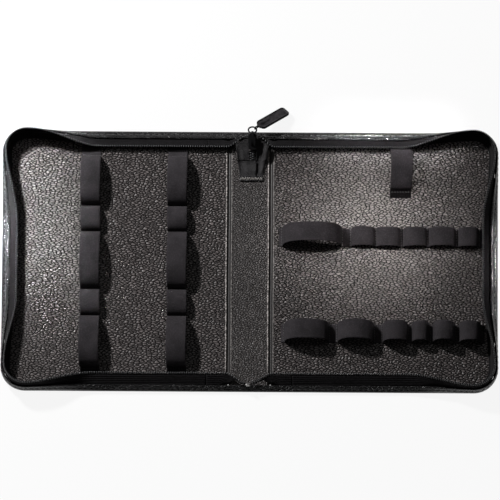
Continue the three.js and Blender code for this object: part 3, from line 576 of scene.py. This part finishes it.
# a stitch is a short rounded thread: three rings of six points between two poles
turns = np.arange(6) * math.pi / 3
STITCH_POINTS = np.concatenate([
    [[-0.5, 0, 0]],
    *[together(x, r * np.cos(turns), r * np.sin(turns)) for x, r in ((-0.38, 0.4), (0, 0.5), (0.38, 0.4))],
    [[0.5, 0, 0]],
])
ring = np.arange(6)
after = (ring + 1) % 6
STITCH_FACES = np.concatenate([
    together(0, 1 + after, 1 + ring), together(19, 13 + ring, 13 + after),
    *[together(base + one, base + two, base + 6 + ring)
      for base in (1, 7) for one, two in ((ring, after), (after, 6 + after))],
])


def stitched(name, centres, along, up, sizes, material):
    """One mesh of many short rounded bars; sizes are (length, width, thickness)."""
    along = unit(along)
    side = unit(np.cross(up, along))
    up = np.cross(along, side)
    p = STITCH_POINTS * np.asarray(sizes)
    points = centres[:, None] + p[:, 0, None] * along[:, None] + p[:, 1, None] * side[:, None] \
        + p[:, 2, None] * up[:, None]
    faces = STITCH_FACES[None] + (np.arange(len(centres)) * len(p))[:, None, None]
    return finished(name, points, faces.reshape(-1, 3), material)


def wall_thread(name, at):
    """Lockstitches lying in the groove of a wall piece, along it."""
    seat, deep = (placed_row(at, STITCH_AT, out) for out in (0.34, -0.66))
    run = np.gradient(seat, axis=0)
    return stitched(name, seat, run, seat - deep, (4.5, 0.8, 0.75), thread)


f = Finish("black_thread", (0.05, 0.048, 0.05), 0.42, sheen=0.3)
f.raise_by((f.axis("X") * 5200.0).math("SINE"), 0.05)
thread = f.material

for half, side in HALVES:
    s = marks(0, HALF_RUN, 1.45)
    at = stations(side, s)
    outer, inner = (cut_to_fold(side, placed(at, line)) for line in wall_lines(at, s))
    made = skins(f"{half}_wall_leather", outer, inner, case_leather, "leatherette")
    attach(made, f"{half}_half")
    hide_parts(f"{half}_wall")
    at = stations(side, np.arange(6, HALF_RUN - 5, STITCH_PITCH))
    made = wall_thread(f"{half}_wall_stitches", at)
    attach(made, f"{half}_half")


# The spine's end strips: the same rolled and stitched leather, closing the spine at each end,
# and a soft pleat in each fold that joins them to the walls and opens as the case is shut.
STRIP_REACH = 20.6
for end, way in ENDS:
    x = np.linspace(-STRIP_REACH, STRIP_REACH, 31)
    at = spine_stations(x, way)
    grids = [placed(at, line) for line in wall_lines(at, x + STRIP_REACH)]
    for grid in grids:
        grid[..., 0] *= (HINGE_X - fold_back(grid[..., 2])) / STRIP_REACH
    made = skins(f"spine_{end}_leather", *grids, case_leather, "leatherette")
    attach(made, "spine")
    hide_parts(f"spine_{end}_strip")
    made = wall_thread(f"spine_{end}_stitches", spine_stations(np.arange(-14.5, 15, STITCH_PITCH), way))
    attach(made, "spine")
    for half, side in HALVES:
        w = np.linspace(-1, 1, 15)
        at = spine_stations(0 * w, way)
        at["from_fold"] = 0 * w
        grids = [placed(at, line) for line in wall_lines(at, 0 * w)]
        for grid in grids:
            grid[..., 0] = side * HINGE_X + w[:, None] * fold_back(grid[..., 2])
        made = skins(f"{half}_{end}_pleat_leather", *grids, case_leather, "leatherette")
        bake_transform(made)
        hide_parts(f"{half}_{end}_pleat")


# The facing: a black fabric strip inside the wall, from a turned edge glued on the lining up
# behind the zip tape. It hides the wall's foot.
def woven(name, colour, pitch, roughness, height, ribs=1.0, specular=0.25, lively=0.3):
    """Plain weave on the strip's own UV: sines along and across it, crossed, with specks and lint."""
    f = Finish(name, colour, roughness, specular=specular, sheen=0.04)
    u, v = ((f.axis(letter, "UV") * (2000 * math.pi / step)).math("SINE")
            for letter, step in zip("XY", pitch))
    weave = u * v
    lint = cloud(f, 0.6, 4.0)
    patch = f.smooth(cloud(f, 14), 0.3, 0.7)
    speck = f.smooth(cloud(f, 1.3, 3.0), 0.5, 0.62)
    dark, pale = (tuple(c * k for c in colour) for k in (0.5, 1.9))
    f.set("Base Color", f.blend((weave * 0.5 + 0.5) * 0.4 + patch * 0.3 + speck * lively, dark, pale))
    f.set("Roughness", roughness + 0.12 * lint)
    f.raise_by(weave + v * ribs + lint * 0.8, height)
    return f.material


facing_cloth = woven("facing_cloth", (0.005, 0.0046, 0.005), (1.1, 1.1), 0.8, 0.06)
for half, side in HALVES:
    s = marks(0, HALF_RUN, 2.6)
    at = stations(side, s)
    lean = (at["lean"] - LEAN["corner"]) / (LEAN["long"] - LEAN["corner"])
    foot, heel = 9.6 + 5.4 * lean, 7.2 + 4.6 * lean
    sag = 0.25 * np.sin(s / 9.1) + 0.2 * np.sin(s / 4.7 + 2)
    top_n, top_z = wall_row(at, 0.5, TAPE_OUT - TAPE_T - 0.35).T
    mid_n, mid_z = wall_row(at, 0.28, -2.6).T
    knots = np.stack([together(n, z) for n, z in (
        (foot, 3.05), (foot - 0.3, 3.55), (foot - 1.2, 3.62), (heel + 0.8, 3.66 + 0.1 * sag),
        (heel * 0.55 + mid_n * 0.45 + 0.3 + sag * 0.4, mid_z * 0.5 + 2.5),
        (mid_n + (0.9 + sag * 0.5), mid_z + 0.2), (top_n + 0.45, top_z + 0.1),
    )], 1)
    under = knots.copy()
    under[:, 1:, 0] -= 0.42
    under[:, 1:4, 1] -= 0.5
    under[:, 4:, 1] -= 0.25
    outer, inner = (cut_to_fold(side, placed(at, through(line, 25))) for line in (knots, under))
    uv = together(s[:, None], np.linspace(0, 16, 25))
    made = skins(f"{half}_facing_cloth", outer, inner, facing_cloth, "zip_fabric", uv)
    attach(made, f"{half}_half")
    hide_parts(f"{half}_wall_facing")


# The zip tapes: woven black tape, sewn behind the leather's turned edge, with the zip's coil of
# nylon along its free edge. Along the folds the tape runs free, down to the slider or the stop.
tape_cloth = woven("tape_cloth", (0.0046, 0.0041, 0.0046), (0.9, 1.6), 0.75, 0.12, 1.6, 0.08, 1.2)
f = Finish("coil_nylon", (0.02, 0.02, 0.022), 0.32, specular=0.55)
f.set("Roughness", 0.28 + 0.2 * cloud(f, 2.5))
coil_nylon = f.material
TAPE_TOP, TOOTH_PITCH = 0.925, 2.3
TAPE_START, RUN_START = 22, 42.9


def tape_strip(name, at, s, t, mid, width):
    """Tape with columns at t up the wall, mid out from it, rippled and thin at both edges."""
    w = np.linspace(-1, 1, t.shape[-1])
    half = TAPE_T / 2 * np.maximum(1 - np.abs(w) ** 14, 0.25)
    ripple = 0.14 * np.sin(s / 11.3) + 0.08 * np.sin(s / 4.9 + 1)
    middle = np.reshape(mid, (-1, 1)) + ripple[:, None] * (0.3 + 0.7 * np.maximum(w, 0))
    grids = [placed(at, wall_point(at, t, middle + out)) for out in (half, -half)]
    uv = together(s[:, None], np.linspace(0, width, len(w)))
    return skins(name, *grids, tape_cloth, "zip_fabric", uv)


def coil(name, at, mid):
    """Coil turns across the tape's edge, one at every station, as short rounded bars."""
    low, high, lift = (placed_row(at, t, out) for t, out in ((0.905, mid), (0.987, mid), (0.95, mid + 1)))
    middle = (low + high) / 2
    return stitched(name, middle, high - low, lift - middle, (2.5, 1.75, 2.1), coil_nylon)


for half, side in HALVES:
    s = marks(TAPE_START, HALF_RUN - TAPE_START, 2.4)
    t = np.linspace(0.44, TAPE_TOP, 17)[None, :]
    made = tape_strip(f"{half}_tape_cloth", stations(side, s), s, t, TAPE_MID, 10.4)
    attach(made, f"{half}_half")
    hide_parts(f"{half}_zip_tape")
    made = coil(f"{half}_coil", stations(side, np.arange(22.8, HALF_RUN - 22.4, TOOTH_PITCH)), TAPE_MID)
    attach(made, f"{half}_half")
    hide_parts(f"{half}_zip_teeth")

# where the runs end: half their gap and its middle, then their lean, rise and lower edge
ZIP_END = {
    "slider_end": dict(x=4.6, centre=1.75, lean=9.4, rise=14.2, low=0.58),
    "far_end": dict(x=2.4, centre=-1.4, lean=8.2, rise=9.6, low=0.84),
}
for half, side in HALVES:
    for end, way in ENDS:
        goal = ZIP_END[end]
        near = goal["x"] + side * goal["centre"]

        def run_stations(x):
            """Stations of the run, which turn from the wall's own to the goal's as x nears the middle."""
            turn = ease((24 - x) / (24 - near))
            rise = rise_for(LEAN["long"])
            at = spine_stations(side * x, way, LEAN["long"] + (goal["lean"] - LEAN["long"]) * turn,
                                rise + (goal["rise"] - rise) * turn)
            low = 0.45 + 0.13 * ease((30 - x) / 6)
            return at, TAPE_MID + 2 * turn, low + (goal["low"] - low) * ease(2 * turn)

        x = np.linspace(RUN_START, near, int((RUN_START - near) / 1.6))
        at, mid, low = run_stations(x)
        t = low[:, None] + (TAPE_TOP - low)[:, None] * np.linspace(0, 1, 13)
        made = tape_strip(f"{half}_{end}_run_cloth", at, x, t, mid, 10)
        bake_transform(made)
        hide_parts(f"{half}_{end}_zip_run")
        at, mid, low = run_stations(np.arange(42.4, near, -TOOTH_PITCH))
        made = coil(f"{half}_{end}_run_coil", at, mid)
        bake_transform(made)


# The elastic loops: flat 20 mm knitted elastic laid over the lining and sewn across at every
# seam, so that each length between two seams stands up as a loop. Two bands run the length of
# the left half, two rows cross the right half, and one short band is folded back on itself.
BAND_W, BAND_T = 20.0, 1.0
elastic = woven("elastic_knit", (0.0233, 0.0205, 0.0229), (0.7, 0.9), 0.75, 0.05, 1.5, 0.15)


def loops_between(start, end, loops):
    """Both ends and the height of each loop, from (gap, width, height), scaled to fit."""
    table = np.array(loops)
    share = (end - start) / table[:, :2].sum()
    ends = start + np.cumsum(table[:, 0] + table[:, 1]) * share
    return [(e - w * share, e, h) for e, (g, w, h) in zip(ends, table)]


def loop_path(start, end, arches):
    """Path (a, z) of a band: flat at each seam, and over each loop a squared arch
    a = mid + half * sign(cos) |cos|^0.88, z = low + lift * sin^0.82; with how high it stands, 0 to 1."""
    low = LINING_TOP + BAND_T / 2 + 0.05
    parts, lifts = [[[start, low]]], [[0]]
    a = math.pi * (1 - np.linspace(0, 1, 33))
    across = np.sign(np.cos(a)) * np.abs(np.cos(a)) ** 0.88
    up = np.maximum(np.sin(a), 0) ** 0.82
    up[[0, -1]] = 0
    for x0, x1, height in arches:
        along = (x0 + x1) / 2 + np.sign(x1 - x0) * (abs(x1 - x0) / 2 - 0.7) * across
        parts.append(together(along, low + (height - BAND_T) * up))
        lifts.append(up)
    return np.concatenate([*parts, [[end, low]]]), np.concatenate([*lifts, [0]])


def laid(x=None, y=None):
    """How a band's points (along it, across it, up) lie: along y at that x, or along x at that y."""
    return lambda a, across, z: together(x + across, a, z) if y is None else together(a, y + across, z)


def strap(name, path, lifts, put, lean, broad):
    """Elastic along a path: a flat section with soft edges, crowned where it stands, drawn in at the
    seams and leaning sideways by so many millimetres for each one of height."""
    along = np.concatenate([[0], np.cumsum(np.linalg.norm(np.diff(path, axis=0), axis=1))])
    sense = np.sign(path[-1, 0] - path[0, 0])
    way = np.gradient(path, axis=0)
    way /= np.maximum(np.linalg.norm(way, axis=1, keepdims=True), 1e-9)
    way[lifts < 0.001] = [sense, 0]
    normal = sense * together(-way[:, 1], way[:, 0])
    w = np.array([-1, -0.985, -0.95, -0.85, -0.6, -0.3, 0, 0.3, 0.6, 0.85, 0.95, 0.985, 1])
    width = broad / 2 * (0.965 + 0.035 * lifts)
    shift = lean * (path[:, 1] - path[0, 1]) + 0.3 * lifts * np.sin(path[:, 0] / 13)
    crown = 0.35 * lifts[:, None] * (1 - w ** 2)
    thick = BAND_T / 2 * np.array([0.35, 0.7, 1, 1, 0.92, 0.9, 0.9, 0.9, 0.92, 1, 1, 0.7, 0.35])
    grids = []
    for face in (1, -1):
        move = face * thick + crown
        a, z = (path[:, k, None] + normal[:, k, None] * move for k in (0, 1))
        grids.append(put(a, w * width[:, None] + shift[:, None], z))
    uv = together(along[:, None], w * broad / 2)
    return skins(name, *grids, elastic, "elastic", uv)


def seam_thread(name, seams, put):
    """Two rows of stitches across the band at each seam."""
    across = np.arange(-8.1, 8.2, 2.7)
    a = np.repeat([v for seam in seams for v in (seam - 0.55, seam + 0.55)], len(across))
    w = np.tile(across, 2 * len(seams))
    z = LINING_TOP + BAND_T + 0.1
    centres = put(a, w, z)
    return stitched(name, centres, put(a, w + 1, z) - centres, (0, 0, 1), (2.1, 0.5, 0.5), thread)


def sewn_down(name, half, path, lifts, put, lean, seams, seam_name="_seams", broad=BAND_W):
    """A band in its place, and the stitches of its seams."""
    made = strap(name + "_elastic", path, lifts, put, lean, broad)
    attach(made, half)
    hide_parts(name)
    made = seam_thread(name + seam_name, seams, put)
    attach(made, half)


# each loop's gap before it, its width and its height
REACH_FROM, REACH_TO = HALF_Y - 24.5, 23.75 - HALF_Y
UPRIGHT = [(3.75, 52.5, 15), (0, 27, 9.5), (0, 60.5, 15.5), (0, 28, 9.5), (0, 54.5, 16)]
arches = loops_between(REACH_FROM, REACH_TO, UPRIGHT)
path, lifts = loop_path(REACH_FROM + 7.5, REACH_TO - 4, arches)
seams = [arches[0][0]] + [arch[1] for arch in arches]
for name, share, lean in (("outer_loop_band", -0.641, -0.09), ("inner_loop_band", -0.2926, -0.05)):
    sewn_down(name, "left_half", path, lifts, laid(x=share * HALF_X), lean, seams)

ROW_FROM = HINGE_X + 11
for name, y, end, loops in (
    ("upper_loop_row", 0.181 * HALF_Y, HALF_X - 19.5,
     [(0, 60, 19), (9, 24, 6.8), (1, 24.5, 6.8), (2.5, 24, 6.8), (1.5, 27.5, 7.2), (2, 21, 7.2)]),
    ("lower_loop_row", -0.552 * HALF_Y, HALF_X - 17,
     [(2.5, 45, 15.5), (8, 37, 15), (8.3, 25.7, 13.5), (3, 18.5, 11.5), (2.5, 23, 13.5), (3.5, 22.5, 13.5)]),
):
    arches = loops_between(ROW_FROM, end, loops)
    path, lifts = loop_path(arches[0][0] - 3, arches[-1][1] + 3, arches)
    ends = [v for arch in arches for v in arch[:2]]
    seams = [v for k, v in enumerate(ends) if k % 2 or k == 0 or v - ends[k - 1] > 3]
    sewn_down(name, "right_half", path, lifts, laid(y=y), 0.09, np.round(seams, 2))

path, lifts = loop_path(HALF_Y - 16.5, HALF_Y - 70, [(HALF_Y - 18, HALF_Y - 62.5, 8.5)])
sewn_down("single_loop", "right_half", path, lifts, laid(x=0.6045 * HALF_X), 0.15, [HALF_Y - 64], "_seam", 22)


# The tail: black tape cloth, sewn beside the end of the zip's chain and folded over itself
# below it, spread on the spine and held there by a tack patch with pale bar stitches.
TILT = math.radians(20)
SLIDER_AT = np.array([1.75, HALF_Y - 14.2, 12.0])


def on_slider(points):
    """Points of the slider's own frame, y along the chain and z off its face, set in place."""
    x, y, z = np.moveaxis(np.array(points), -1, 0)
    c, s = math.cos(TILT), math.sin(TILT)
    return SLIDER_AT + together(x, y * c - z * s, y * s + z * c)


tail_cloth = woven("tail_cloth", (0.0075, 0.0067, 0.0075), (0.7, 0.9), 0.5, 0.08, 1.0, 0.3, 2.5)
# ten stations from the slider down to the patch: y and z, how far a flap reaches from the chain,
# half the slot between the flaps, and the slot's middle
TAIL_LOW, CHAIN_X, TAIL_X = LINING_TOP + 0.1 + 0.35, 1.75, 0.875
upper = on_slider([[0, y, 0] for y in (2, -1.2, -3, -9, -18)])[:, 1:]
line = np.concatenate([upper, [[HALF_Y - 33, 4.6], [HALF_Y - 36, TAIL_LOW + 0.2],
                               *[[HALF_Y - back, TAIL_LOW] for back in (41, 47, 53)]]])
REACH = {-1: [8, 12.5, 16.4, 15.8, 14.8, 14.2, 13.6, 12.6, 11.8, 11],
         1: [8, 12.5, 16.4, 15.8, 15, 14.4, 13.8, 12.6, 11.8, 11]}
SLOT = [3.3] * 4 + [3.2, -0.4] + [-0.6] * 4
MIDDLE = [1.75] * 4 + [2.2, 4.4, 5.0, 5.2, 5.0, 4.6]
for flap, side in HALVES[::-1]:
    y, z, far, near, centre = through(np.stack([*line.T, REACH[side], SLOT, MIDDLE], -1), 81).T[..., None]
    w = np.linspace(0, 1, 25)
    shut = ease((3.0 - near) / 3)
    loose = ease((HALF_Y - 17 - y) / 10) * ease((y - HALF_Y + 48) / 6)
    outer = CHAIN_X + (TAIL_X - CHAIN_X) * shut + side * far
    if side < 0:
        inner = centre + side * near
        wave = 1.1 * (1 - ease((w - 0.5) / 0.25)) + 0.9 * ease((w - 0.85) / 0.15)
        z = z + loose * wave + (0.45 + 0.4 * ease((y - HALF_Y + 48) / 5)) * shut * (1 - ease(w * 3)) + 0.05
    else:
        inner = centre + side * (near + 0.2)
        wave = 1.5 * ease((w - 0.45) / 0.35) - 0.6 * ease((w - 0.85) / 0.15)
        dip = 2.0 * ease((HALF_Y - 12 - y) / 8) * ease((y - HALF_Y + 36) / 8)
        z = z + loose * wave - dip * (ease(w * 4) * (1 - ease((w - 0.45) / 0.4)))
    x = inner + (outer - inner) * w
    grids = [together(x, y, z + out) for out in (0.33, -0.33)]
    made = skins(f"tail_flap_{flap}", *grids, tail_cloth, "zip_fabric", grids[0][..., :2])
    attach(made, "spine")
    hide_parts("zip_tail")

y = np.arange(2.2, -19.5, -TOOTH_PITCH / 2)
hand = np.where(np.arange(len(y)) % 2, 1.0, -1.0)
centres, along, up = (on_slider(together(1.1 * hand + dx, y, dz)) for dx, dz in ((0, 0), (1, 0), (0, 1)))
made = stitched("tail_coil", centres, along - centres, up - centres, (3.4, 1.3, 2.1), coil_nylon)
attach(made, "spine")
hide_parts("tail_zip_chain")

PATCH_X, PATCH_Y, PATCH_Z = TAIL_X, HALF_Y - 53.6, LINING_TOP + 0.8
PATCH_W, PATCH_D, PATCH_T = 24, 5, 0.8
marks_in = EDGE_MARKS[:5]
x = np.concatenate([marks_in - PATCH_W / 2, np.linspace(-10, 10, 17), PATCH_W / 2 - marks_in[::-1]])
y = np.concatenate([marks_in, np.linspace(1.6, 3.4, 5), PATCH_D - marks_in[::-1]])
x, y = PATCH_X + x[:, None], PATCH_Y + y
edge = np.minimum(PATCH_W / 2 - np.abs(x - PATCH_X), PATCH_D / 2 - np.abs(y - PATCH_Y - PATCH_D / 2))
drop = roll(edge, 0.35)
grids = [together(x, y, z) for z in (PATCH_Z + PATCH_T - drop, PATCH_Z + 0.02 + drop)]
made = skins("tack_patch_leather", *grids, case_leather, "leatherette")
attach(made, "spine")
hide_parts("tail_tack_patch")
f = Finish("tack_thread", (0.3, 0.28, 0.26), 0.35, sheen=0.3)
f.raise_by(cloud(f, 0.3), 0.05)
x = np.arange(-10.4, 10.5, 1.3)
centres = together(PATCH_X + x, PATCH_Y + PATCH_D / 2 + 0.25 * np.sin(x * 2.4), PATCH_Z + 0.92)
made = stitched("tack_stitches", centres, together(0.5 * np.cos(x * 2.9), 1, 0), (0, 0, 1),
                (3.3, 0.5, 0.5), f.material)
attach(made, "spine")


# The slider and its pull: a cast black slider with a bail, a wire ring through the bail, a
# steel link, and a moulded matt pull tab with a raised rim round its sunk face.
def cast(name, colour, smoothest, spots, dents, depth, **looks):
    """Metal with roughness in spots and shallow dents: (share, millimetres), millimetres, and depth."""
    f = Finish(name, colour, 0.4, **looks)
    f.set("Roughness", smoothest + spots[0] * cloud(f, spots[1], 4.0))
    f.raise_by(cloud(f, dents, 3.0), depth)
    return f.material


enamel = cast("black_enamel", (0.004, 0.004, 0.0045), 0.36, (0.2, 1.8), 1.1, 0.05, specular=0.2)
wire_steel = cast("wire_steel", (0.035, 0.034, 0.035), 0.24, (0.22, 0.9), 0.7, 0.03, metallic=1.0)


def eased_copy(node, name, width, material):
    """Copy of a CAD node's mesh with its doubles merged and its edges rounded by a Bevel modifier."""
    mesh = bpy.data.meshes.new(name)
    work = bmesh.new()
    work.from_mesh(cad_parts[node].data)
    bmesh.ops.remove_doubles(work, verts=work.verts, dist=1e-6)
    bmesh.ops.dissolve_limit(work, angle_limit=0.02, verts=work.verts, edges=work.edges)
    bmesh.ops.recalc_face_normals(work, faces=work.faces)
    work.to_mesh(mesh)
    work.free()
    mesh.materials.append(material)
    mesh.shade_smooth()
    mesh.set_sharp_from_angle(angle=math.radians(40))
    made = added(name, mesh)
    bevel = made.modifiers.new("rounded_edges", "BEVEL")
    bevel.width = width / 1000
    bevel.segments = 2
    bevel.limit_method = "ANGLE"
    bevel.angle_limit = math.radians(35)
    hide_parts(node)
    return made


def hoop(name, rings, material, closed=False, uv=None):
    """Surface through rings of points (rings, around, 3): joined end to end where closed, else capped."""
    ids = np.arange(rings[..., 0].size).reshape(rings.shape[:2])
    turned = np.roll(ids, -1, 1)
    faces = together(ids, turned, np.roll(turned, -1, 0), np.roll(ids, -1, 0))
    faces = faces[:None if closed else -1].reshape(-1, 4)
    triangles = np.concatenate([faces[:, [0, 1, 2]], faces[:, [0, 2, 3]]])
    points = rings.reshape(-1, 3)
    if not closed:
        hubs = np.array([rings[0].mean(0), rings[-1].mean(0)])
        points = np.concatenate([points, hubs])
        if uv is not None:
            uv = np.concatenate([uv.reshape(-1, 2), uv[0, :1], uv[-1, :1]])
        low = together(len(points) - 2, turned[0], ids[0])
        high = together(len(points) - 1, ids[-1], turned[-1])
        triangles = np.concatenate([triangles, low, high])
    return finished(name, points, triangles, material, uv, None if closed else 50)


def angles(count):
    """Even steps round a full turn, from 0."""
    return np.linspace(0, 2 * math.pi, count, endpoint=False)


def wire(name, path, radius, material):
    """Closed round wire along a path that lies in one plane: circles square to the path."""
    step = unit(np.roll(path, -1, 0) - np.roll(path, 1, 0))
    flat = unit(np.cross(path[len(path) // 3] - path[0], path[len(path) // 2] - path[0]))
    out = np.cross(step, flat)
    a = angles(14)[:, None]
    rings = path[:, None] + radius * (np.cos(a) * out[:, None] + np.sin(a) * flat)
    return hoop(name, rings, material, True)


made = eased_copy("zip_slider", "slider_enamel", 0.22, enamel)
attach(made, "slider")

RING_R, RING_WIRE, EYE_R, EYE_WIRE, PLAY = 4.1, 0.6, 1.6, 0.42, 0.12
RING_DIP, HOOK_AT, TAB_HEADING, TAB_DIP = (math.radians(v) for v in (25, 40.7, 37.4, 19))
ring_out = np.array([0, math.cos(RING_DIP), -math.sin(RING_DIP)])
ring_across = np.array([1.0, 0, 0])
ring_centre = on_slider([0, 8.55, 3.9]) + RING_R * ring_out
a = angles(64)[:, None]
made = wire("pull_ring_wire", ring_centre + RING_R * (np.cos(a) * ring_across + np.sin(a) * ring_out), 0.78,
            enamel)
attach(made, "ring")
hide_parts("pull_ring")

tab_across = ring_across * math.sin(HOOK_AT) - ring_out * math.cos(HOOK_AT)
tab_hook = ring_centre + RING_R * (ring_across * math.cos(HOOK_AT) + ring_out * math.sin(HOOK_AT))
tab_along = np.array([math.cos(TAB_HEADING) * math.cos(TAB_DIP), math.sin(TAB_HEADING) * math.cos(TAB_DIP),
                      -math.sin(TAB_DIP)])
tab_along = unit(tab_along - tab_across * (tab_along @ tab_across))
tab_up = np.cross(tab_across, tab_along)


def on_tab(p):
    """Points of the tab's own frame, x across it, y along it and z off its face, set in place."""
    return tab_hook + p[..., 0, None] * tab_across + p[..., 1, None] * tab_along + p[..., 2, None] * tab_up


slack = EYE_R - EYE_WIRE - RING_WIRE - PLAY
a = angles(36)
eye = wire("link_eye", on_tab(together(0, slack + EYE_R * np.cos(a), EYE_R * np.sin(a))), 0.62,
           wire_steel)
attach(eye, "pull")
a = angles(16)
rings = [together(r * np.cos(a), slack + y, r * np.sin(a))
         for y, r in ((1.75, 0.7), (1.95, 1.15), (2.95, 1.15), (3.15, 0.9))]
shank = hoop("link_shank", on_tab(np.array(rings)), wire_steel)
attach(shank, "pull")
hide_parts("tab_link")
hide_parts("tab_link")

TAB_W, NECK_W = 6.1, 2.4
TAB_START = slack + 3.2
TAB_END = TAB_START + 37.0


def curve(a, b, c):
    """Quadratic curve from a to c, pulled to b."""
    t = np.linspace(0, 1, 12)[:, None]
    return (1 - t) ** 2 * a + 2 * t * (1 - t) * b + t ** 2 * c


right_side = np.concatenate([
    [(NECK_W, TAB_START)],
    curve((NECK_W, TAB_START + 0.8), (TAB_W, TAB_START + 1.7), (TAB_W, TAB_START + 4.7)),
    together(TAB_W, np.linspace(TAB_START + 7, TAB_END - 6, 10)),
    curve((TAB_W, TAB_END - 4), (TAB_W, TAB_END), (TAB_W - 4, TAB_END)),
])
outline = np.concatenate([right_side, (right_side * [-1, 1])[::-1]])
step = np.roll(outline, -1, 0) - np.roll(outline, 1, 0)
inward = unit(together(-step[:, 1], step[:, 0]))
# from the sunk face over its rim to the side: how far in from the outline, and how far off the middle
RIM = [(2.6, 0.82), (1.5, 0.84), (1.25, 1.1), (0.6, 1.17), (0.18, 0.98), (0, 0.6)]
rings, spread = [], []
for d, z in [(d, -z) for d, z in RIM] + RIM[::-1]:
    flat = outline + inward * d
    x = flat[:, 0]
    x[np.abs(x) < 0.3] = 0
    crossed = x * outline[:, 0] < 0
    x[crossed] = 0.02 * outline[crossed, 0]
    rings.append(together(*flat.T, z))
    spread.append(np.full_like(flat, d))
rubber = Finish("pull_rubber", (0.012, 0.011, 0.012), 0.5, specular=0.15)
mottle = cloud(rubber, 3.0, 3.0)
face = rubber.smooth(rubber.axis("X", "UV") * 1000, 1.0, 1.6)
face = face * (0.25 + 0.75 * rubber.smooth(mottle, 0.3, 0.7))
rubber.set("Base Color", rubber.blend(face, (0.0035, 0.0033, 0.0035), (0.03, 0.027, 0.03)))
rubber.set("Roughness", 0.42 + 0.2 * mottle)
rubber.raise_by(cloud(rubber, 0.35, 2.0), 0.06)
made = hoop("pull_tab_rubber", on_tab(np.array(rings)), rubber.material, uv=np.array(spread))
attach(made, "pull")
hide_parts("pull_tab")

stop_steel = cast("stop_steel", (0.5, 0.49, 0.48), 0.24, (0.26, 0.9), 1.2, 0.12, metallic=1.0)
made = eased_copy("zip_end_stop", "end_stop_steel", 0.3, stop_steel)
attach(made, "spine")


# The floor: a plain pale sheet that shows almost white to the camera and in gloss, and keeps a
# soft shadow. The room round it gives very little light.
FLOOR_Z = -0.0002
floor_mesh = bpy.data.meshes.new("floor")
floor_mesh.from_pydata([(x, y, FLOOR_Z) for x, y in ((-6, -6), (6, -6), (6, 6), (-6, 6))], [], [(0, 1, 2, 3)])
floor = added("floor", floor_mesh)
pale = Finish("pale_floor", (0.8, 0.8, 0.8), 0.9, specular=0.1)
seen, gloss, passing = (pale.node("LightPath", output=f"Is {ray} Ray")
                        for ray in ("Camera", "Glossy", "Transmission"))
seen = seen.math("MAXIMUM", gloss).math("MAXIMUM", passing)
pale.show(seen * 0.9, Level(pale, pale.shader.outputs[0]), pale.node("Emission"))
floor_mesh.materials.append(pale.material)

world = bpy.data.worlds.new("room")
scene.world = world
world.use_nodes = True
room = world.node_tree.nodes["Background"]
room.inputs["Color"].default_value = (1, 1, 1, 1)
room.inputs["Strength"].default_value = 0.05
